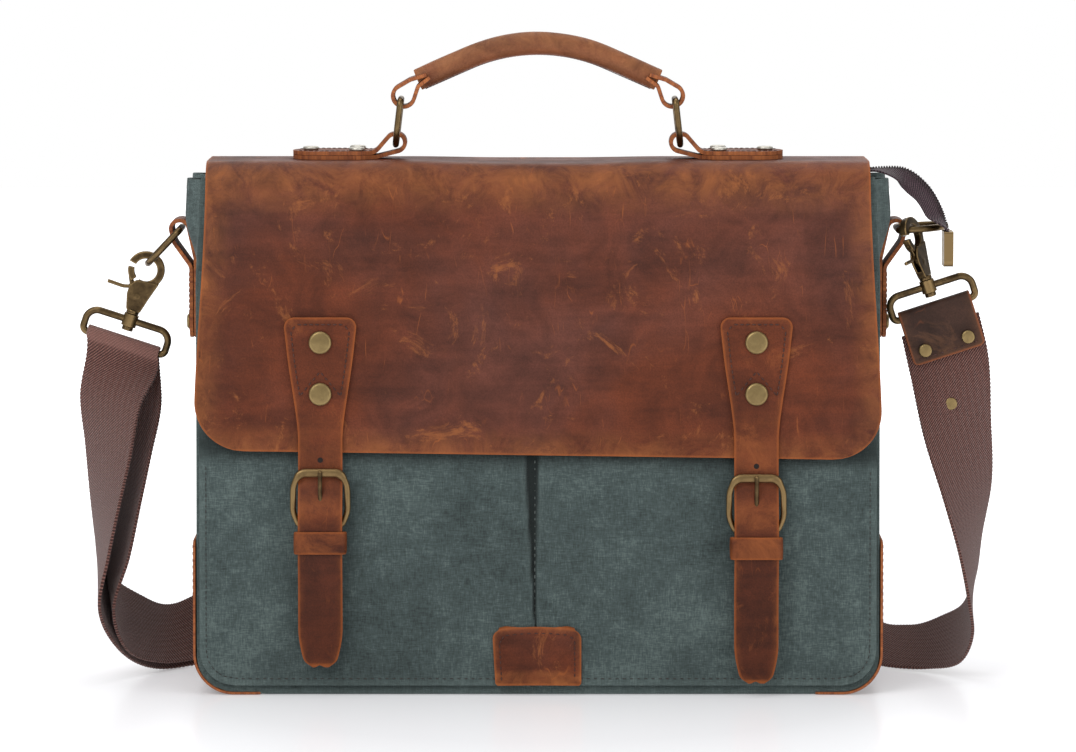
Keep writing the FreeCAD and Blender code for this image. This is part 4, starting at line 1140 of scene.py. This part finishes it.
def makeRingTab(sideName):
    side = -1 if sideName == "left" else 1
    points = [(191.4, 196), (191.4, 240), (196.5, 263.5), (206, 260), (203.5, 249.5), (193.9, 236),
              (193.9, 196)]
    points = [(side * x, z) for x, z in points]
    walk, length = track(points, [0, 10, 5, 4.5, 4.5, 6, 0])

    def half(distance, point):
        return 11 - roundEnd(point.y - 196, 5)
    bandPiece(sideName + "RingTab", walk, length, half, "bag", [sideName + "_d_ring_tab"], 0.9, 120)
    bm = bmesh.new()
    for y in (-8, 8):
        line = [Vector((side * 195.15, y, z)) * mm for z in range(200, 234, 3)]
        stitchLine(bm, line, Vector((side, 0, 0)), 3.2, 0.1)
    addPiece(sideName + "RingTabStitching", bm, [brownThread], "bag")


makeGrip()
for name in ("left", "right"):
    makeHandleLoop(name)
    makeHandleTab(name)
    makeRingTab(name)
print("handle and tabs made")


# the shoulder strap
strap = {"thickness": 1.9, "ringDrop": 13.4}
hookPlace = {"left": (Vector((-229.1, 0, 205.0)), math.radians(18)),
             "right": (Vector((217.8, -15, 225.4)), math.radians(-18))}
# each station is the near edge and the far edge of the webbing
leftOuter = [((-222.5, -20, 158), (-257.5, 5, 162)), ((-228, -21, 130), (-255.5, 13, 134)),
             ((-234.5, -22, 102), (-253.5, 17.5, 106)), ((-241, -21, 72), (-251, 21, 80)),
             ((-246.5, -15, 44), (-249, 25, 62)), ((-238, 6, 18), (-236.5, 42, 43.5)),
             ((-218, 36, 1.5), (-214, 70, 30)), ((-194, 54, 1.2), (-196, 81, 35)),
             ((-150, 72, 5), (-150, 72, 50))]
leftInner = [((-212, -4, 158), (-246.5, 23, 162)), ((-217.5, -9, 130), (-246, 25, 134)),
             ((-223.5, -12, 102), (-244, 27, 107)), ((-230, -13, 72), (-246, 27, 84)),
             ((-239, -8, 42), (-246.5, 30, 60)), ((-233, 10, 16), (-227, 43, 42)),
             ((-214, 34.5, 5), (-210, 67.5, 34)), ((-192.5, 53.5, 4.5), (-194, 78.5, 39.5)),
             ((-150, 68.6, 5), (-150, 68.6, 50))]
rightRun = [((208.2, -15, 176.4), (251, -15, 190.4)), ((216, -20, 141), (254.5, 0, 150)),
            ((227.5, -22, 105), (256, 11, 112)), ((236.5, -22, 74), (251.5, 19, 82)),
            ((242, -17, 48), (248.5, 26, 56)), ((245, -6, 27), (243, 37, 38)),
            ((239, 10, 9), (233, 49, 30)), ((222, 30, 2.5), (214.5, 69.5, 21)),
            ((200, 44, 1.5), (198, 80.5, 22)), ((191, 54, 1.5), (190, 80.5, 37)),
            ((150, 72, 5), (150, 72, 50))]
footAt = 4  # the station where the webbing stops following the ring


def ringBar(sideName, reach, outward, rise):
    middle, lean = hookPlace[sideName]
    turn = Matrix.Rotation(lean, 3, "Y")
    return middle + turn @ Vector((reach, outward, rise - strap["ringDrop"]))


def barTurn(layer, half):
    stations = []
    for step in range(7):
        turn = math.radians(180 - 30 * step)
        outward = layer * math.cos(turn)
        rise = layer * math.sin(turn)
        stations.append((ringBar("left", half, outward, rise), ringBar("left", -half, outward, rise)))
    return stations


def smoothAlong(points, position):
    # a cubic through the points whose slopes allow for uneven spacing; position counts points
    last = len(points) - 1
    index = min(int(position), last - 1)
    share = position - index
    here, after = points[index], points[index + 1]
    gap = (after - here).length

    def slope(at):
        if at == 0 or at == last:
            other = points[1] - points[0] if at == 0 else points[last] - points[last - 1]
            return other.normalized()
        back = points[at] - points[at - 1]
        ahead = points[at + 1] - points[at]
        return (back / back.length * ahead.length + ahead / ahead.length * back.length) / (
            back.length + ahead.length)
    square = share * share
    cube = square * share
    return (here * (2 * cube - 3 * square + 1) + slope(index) * gap * (cube - 2 * square + share)
            + after * (3 * square - 2 * cube) + slope(index + 1) * gap * (cube - square))


def webbingPiece(name, stations, body, nodes, pitch=0.75, columns=14, paleAt=None, material=None,
                 thickness=None, selvedge=0.45, shape=None, span=None):
    # span picks the stations that become cloth; the others only steer the curve
    first, last = span or (0, len(stations) - 1)
    nears = [Vector(near) for near, far in stations]
    fars = [Vector(far) for near, far in stations]
    positions = [float(first)]
    lengths = [0.0]
    for index in range(first, last):
        reach = ((nears[index + 1] + fars[index + 1]) - (nears[index] + fars[index])).length / 2
        count = max(2, round(reach / pitch))
        positions += [index + (step + 1) / count for step in range(count)]
        lengths += [lengths[-1] + reach * (step + 1) / count for step in range(count)]
    rows = len(positions) - 1

    def place(u, v):
        row = round(v * rows)
        near = smoothAlong(nears, positions[row])
        far = smoothAlong(fars, positions[row])
        point = near.lerp(far, u)
        if u in (0.0, 1.0):
            loops = selvedge * (0.5 - 0.5 * math.cos(lengths[row] * 2 * math.pi / 2.3))
            point += (near - far if u == 0.0 else far - near).normalized() * loops
        if shape:
            point = shape(point, near, far, u, positions[row])
        return point * mm, 5, paleAt(positions[row]) if paleAt else 0.0
    bm = sheetMesh(columns, rows, place)
    uvLayer = bm.loops.layers.uv.new("weave")
    bm.verts.index_update()
    width = (fars[-1] - nears[-1]).length
    for face in bm.faces:
        for loop in face.loops:
            row, column = divmod(loop.vert.index, columns + 1)
            loop[uvLayer].uv = (width * column / columns, lengths[row])
    piece = addPiece(name, bm, [material or webbing], body, nodes)
    return thicken(piece, thickness or strap["thickness"], 0.5, False)


def makeStrapWebbing():
    # up the outer layer, over the ring's lower bar and down the inner one
    turn = barTurn(3.3, 20.8)
    down = (Vector(leftInner[0][0]) - turn[0][0]) * 0.16
    neck = [end + down for end in turn[0]]
    tail = [end + down for end in turn[-1]]
    whole = list(reversed(leftOuter)) + [neck] + turn + [tail] + leftInner
    first = len(leftOuter) + 1
    last = len(whole) - 1 - first
    foot = len(leftOuter) - 1
    piece = webbingPiece("leftStrapDrop", whole, None, ["webbing_left_drop"],
                         paleAt=lambda at: 0.85 * between(at, first - 1.2, first - 0.6)
                         * between(at, last + 1.2, last + 0.6),
                         span=(foot - footAt, len(whole) - 1 - foot + footAt))
    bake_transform(piece)
    webbingPiece("leftStrapFoot", leftOuter, "bag", ["webbing_floor"], span=(footAt, foot))
    webbingPiece("leftStrapFootInner", leftInner, "bag", ["webbing_floor"], span=(footAt, foot))
    start = (ringBar("right", -22.4, 0, -9.0), ringBar("right", 22.4, 0, -9.0))
    stations = [start] + rightRun
    piece = webbingPiece("rightStrapDrop", stations, None, ["webbing_right_drop"],
                         span=(0, footAt + 1))
    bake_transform(piece)
    webbingPiece("rightStrapFoot", stations, "bag", ["webbing_floor"],
                 span=(footAt + 1, len(stations) - 1))
    bm = bmesh.new()
    (nearHigh, farHigh), (nearLow, farLow) = rightRun[0], rightRun[1]
    high = Vector(nearHigh).lerp(Vector(farHigh), 0.45)
    low = Vector(nearLow).lerp(Vector(farLow), 0.45)
    middle = high.lerp(low, 0.62)
    across = (Vector(farHigh) - Vector(nearHigh)).normalized()
    fall = (Vector(nearLow) + Vector(farLow) - Vector(nearHigh) - Vector(farHigh)).normalized()
    out = across.cross(fall).normalized()
    out = out if out.y < 0 else -out
    addCap(bm, (middle + out * 0.9) * mm, out, 3.6, 1.0)
    rivet = addPiece("rightStrapRivet", bm, [paleBrass], None)
    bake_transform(rivet)
    run = [((x, 72, 5), (x, 72, 50)) for x in range(-150, 151, 30)]
    webbingPiece("floorRun", run, "bag", ["webbing_floor"], 2.5)
    run = [((x, 68.6, 5), (x, 68.6, 50)) for x in (-150, -133, -116, -99)]
    webbingPiece("doubledEnd", run, "bag", ["webbing_return"], 2.5)
    print("webbing made")


makeStrapWebbing()


def makeStrapEnd():
    endLeather = {"half": 20.8, "length": 27.0, "layer": 3.6, "thickness": 1.9}
    half, length, layer = endLeather["half"], endLeather["length"], endLeather["layer"]
    walk, reach = track([(-layer, -length), (-layer, layer), (layer, layer), (layer, -length)],
                        [0, 3.59, 3.59, 0])

    def place(u, v):
        point, heading = walk(v * reach)
        side = 2 * u - 1
        wide = half - roundEnd(min(v, 1 - v) * reach, 3)
        puff = -0.5 * math.copysign(1, point.x) * between(-point.y, 4, 14)
        here = ringBar("right", side * wide, point.x + puff, point.y)
        rim = min(wide * (1 - abs(side)), v * reach, (1 - v) * reach)
        return here * mm, rim, 0.7 * (1 - min(1, rim / 6))
    piece = addPiece("strapEndLeather", sheetMesh(26, 90, place), [endHide, cutEdge],
                     "right_strap_ring", ["strap_end_leather"])
    thicken(piece, endLeather["thickness"], 0.5)
    bm = bmesh.new()
    out = (ringBar("right", 0, -1, 0) - ringBar("right", 0, 0, 0)).normalized()
    line = [ringBar("right", x, -4.15, -24.0) * mm for x in range(-18, 19, 4)]
    stitchLine(bm, line, out, 3.2, 0.1)
    addPiece("strapEndStitching", bm, [brownThread], "right_strap_ring")


makeStrapEnd()


# the zip
def makeZip():
    for sign, label in ((-1, "front"), (1, "back")):
        run = [((x, 1.9 * sign, 285.6), (x, 28.0 * sign, 285.6)) for x in range(-176, 177, 22)]
        webbingPiece(label + "ZipTape", run, "bag", ["zip_tapes"], 5, 8, material=zipCloth,
                     thickness=0.9, selvedge=0)
    middles = [(178, 0, 288.6), (192, -1, 290.3), (205, -3, 289.8), (217, -9, 281), (224.5, -17, 268),
               (227.8, -22, 257)]
    halves = [13, 12.6, 12, 10.5, 9.5, 9]
    stations = [((x, y - half, z), (x, y + half, z)) for (x, y, z), half in zip(middles, halves)]
    nears = [Vector(near) for near, far in stations]
    fars = [Vector(far) for near, far in stations]

    def foldedTail(point, near, far, u, position):
        # the tail folds down along its teeth, and flattens again at the clamp
        share = position / (len(stations) - 1)
        fold = between(share, 0.1, 0.55) * between(share, 1.0, 0.8)
        across = (far - near).normalized()
        heading = (tailHeading(position)).normalized()
        inward = across.cross(heading).normalized()
        side = 2 * u - 1
        width = (far - near).length / 2
        drawn = across * (side * width * -0.55 * fold)
        return point + drawn + inward * (fold * width * 0.95 * abs(side) ** 1.15)

    def tailHeading(position):
        low = max(0.0, position - 0.05)
        high = min(len(stations) - 1.0, position + 0.05)
        return (smoothAlong(nears, high) + smoothAlong(fars, high)
                - smoothAlong(nears, low) - smoothAlong(fars, low))
    webbingPiece("zipTail", stations, "bag", ["zip_tail"], 1.5, 16, material=zipCloth, thickness=1.1,
                 selvedge=0, shape=foldedTail)
    # the coil runs down the middle of the tail
    bm = bmesh.new()
    steps = 46
    for index in range(steps):
        position = (index + 0.5) * (len(stations) - 1) / steps
        here = (smoothAlong(nears, position) + smoothAlong(fars, position)) / 2
        ahead = (smoothAlong(nears, position + 0.02) + smoothAlong(fars, position + 0.02)) / 2
        heading = (ahead - here).normalized()
        across = (smoothAlong(fars, position) - smoothAlong(nears, position)).normalized()
        up = heading.cross(across).normalized()
        for lift in (-1, 1):
            addStitch(bm, (here + up * lift * 0.9) * mm, across, up, length=5.0, width=1.1, height=1.2)
    addPiece("zipTailCoil", bm, [zipTeeth], "bag")


makeZip()


# rivet caps
def rivetPiece(name, places, radius, height, material, body, nodes):
    bm = bmesh.new()
    for middle, outward in places:
        addCap(bm, middle, outward, radius, height)
    bmesh.ops.recalc_face_normals(bm, faces=bm.faces)
    addPiece(name, bm, [material], body, nodes)


def makeRivets():
    out = Vector((0, -leanCos, leanSin))
    places = [(onFront(closureX[side], t, 8.3), out) for side in closureX for t in (196.6, 168.0)]
    rivetPiece("closureRivets", places, 6.35, 1.7, paleBrass, "flap_front", ["flap_strap_rivets"])
    places = [(Vector((side * x, y, 301.5)) * mm, Vector((0, 0, 1))) for side in (-1, 1)
              for x, y in ((127, 0), (101, 9), (101, -9))]
    rivetPiece("handleTabRivets", places, 4.5, 1.3, nickel, "flap_top", ["handle_tab_rivets"])
    places = [(Vector((side * 195.4, y, 205)) * mm, Vector((side, 0, 0))) for side in (-1, 1)
              for y in (-6, 6)]
    rivetPiece("ringTabRivets", places, 4.0, 1.2, paleBrass, "bag", ["d_ring_tab_rivets"])
    places = []
    for face in (-1, 1):
        outward = (ringBar("right", 0, face, 0) - ringBar("right", 0, 0, 0)).normalized()
        places += [(ringBar("right", x, face * 5.2, -20) * mm, outward) for x in (-12.5, 12.5)]
    rivetPiece("strapEndRivets", places, 3.7, 1.0, paleBrass, "right_strap_ring", ["strap_end_rivets"])


makeRivets()
print("rivets made")


# the cast hooks
def makeCast(name, nodeName, body):
    # the same solid with the softened edges of a casting
    casting = {"voxel": 0.00035, "smoothing": 5}
    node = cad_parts[nodeName]
    bm = bmesh.new()
    bm.from_mesh(node.data)
    bm.transform(node.matrix_world)
    bmesh.ops.remove_doubles(bm, verts=bm.verts, dist=0.000001)
    rough = addPiece(name + "Rough", bm, [brass])
    remesh = rough.modifiers.new("remesh", "REMESH")
    remesh.mode = "VOXEL"
    remesh.voxel_size = casting["voxel"]
    soften = rough.modifiers.new("soften", "SMOOTH")
    soften.factor = 0.5
    soften.iterations = casting["smoothing"]
    graph = bpy.context.evaluated_depsgraph_get()
    mesh = bpy.data.meshes.new_from_object(rough.evaluated_get(graph))
    bm = bmesh.new()
    bm.from_mesh(mesh)
    bpy.data.objects.remove(rough)
    piece = addPiece(name, bm, [brass], body, [nodeName])
    print(name, len(piece.data.polygons), "faces")


for name in ("left", "right"):
    makeCast(name + "HookCasting", name + "_hook_body", name + "_hook")
    makeCast(name + "TriggerCasting", name + "_hook_trigger", name + "_trigger")


# other hardware keeps its own shape and gets its finish
finishes = {
    brass: [side + part for side in closureX
            for part in ("_buckle_prong", "_d_ring", "_strap_ring", "_handle_ring")]
    + ["strap_adjuster", "zip_slider", "zip_pull", "zip_end_clamp"],
    snapSteel: ["left_snap_stud", "right_snap_stud", "snap_sockets"],
    zipTeeth: ["zip_teeth"],
}
for material, names in finishes.items():
    for name in names:
        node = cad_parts[name]
        for slotIndex in range(len(node.material_slots)):
            node.material_slots[slotIndex].material = material
print("hardware finished")


# the studio
def addFloor():
    bm = bmesh.new()
    bmesh.ops.create_grid(bm, x_segments=2, y_segments=2, size=4)
    mesh = bpy.data.meshes.new("studioFloor")
    bm.to_mesh(mesh)
    bm.free()
    floor = bpy.data.objects.new("studioFloor", mesh)
    scene.collection.objects.link(floor)
    material, tree, shader = newMaterial("paleFloor")
    shader.inputs["Base Color"].default_value = (0.9, 0.9, 0.93, 1)
    shader.inputs["Roughness"].default_value = 0.22
    # painted light: the floor glows, dimly near the bag and more brightly away from it, so the sweep reads
    # as white paper
    away = tree.nodes.new("ShaderNodeVectorMath")
    away.operation = "LENGTH"
    tree.links.new(objectPosition(tree), away.inputs[0])
    shader.inputs["Emission Color"].default_value = (1, 1, 1, 1)
    tree.links.new(spread(tree, away.outputs["Value"], 0.2, 1.1, 0.24, 1.0),
                   shader.inputs["Emission Strength"])
    mesh.materials.append(material)


def addLight(name, place, target, size, power, colour=(1, 1, 1)):
    light = bpy.data.lights.new(name, "AREA")
    light.shape = "RECTANGLE"
    light.size = size[0]
    light.size_y = size[1]
    light.energy = power
    light.color = colour
    lamp = bpy.data.objects.new(name, light)
    lamp.location = place
    lamp.rotation_euler = (Vector(target) - Vector(place)).to_track_quat("-Z", "Y").to_euler()
    scene.collection.objects.link(lamp)


def addCamera():
    view = {"distance": 3.0, "elevation": math.radians(6), "target": Vector((0, 0, 0.1734)),
            "width": 0.605}
    camera = bpy.data.cameras.new("camera")
    camera.sensor_width = 36
    camera.lens = 36 * view["distance"] / view["width"]
    camera.clip_end = 50
    eye = bpy.data.objects.new("camera", camera)
    back = Vector((0, -math.cos(view["elevation"]), math.sin(view["elevation"])))
    eye.location = view["target"] + back * view["distance"]
    eye.rotation_euler = (-back).to_track_quat("-Z", "Y").to_euler()
    scene.collection.objects.link(eye)
    scene.camera = eye


addFloor()
addLight("keyLight", (-1.1, -1.6, 1.7), (0, 0, 0.15), (1.4, 1.4), 27)
addLight("fillLight", (1.5, -1.5, 0.9), (0, 0, 0.15), (1.6, 1.2), 10)
addLight("topLight", (0, 0.3, 2.0), (0, 0, 0.1), (1.6, 1.2), 13)
addLight("backLight", (0.2, 1.8, 1.3), (0, 0, 0.2), (2.0, 1.0), 10)
world = bpy.data.worlds.new("studio")
world.use_nodes = True
worldTree = world.node_tree
background = worldTree.nodes["Background"]
background.inputs["Color"].default_value = (1, 1, 1, 1)
# white to the camera, dimmer as a light
lightPath = worldTree.nodes.new("ShaderNodeLightPath")
strength = spread(worldTree, lightPath.outputs["Is Camera Ray"], 0, 1, 0.48, 1.0)
worldTree.links.new(strength, background.inputs["Strength"])
scene.world = world
scene.view_settings.view_transform = "Standard"
addCamera()
print("studio made")
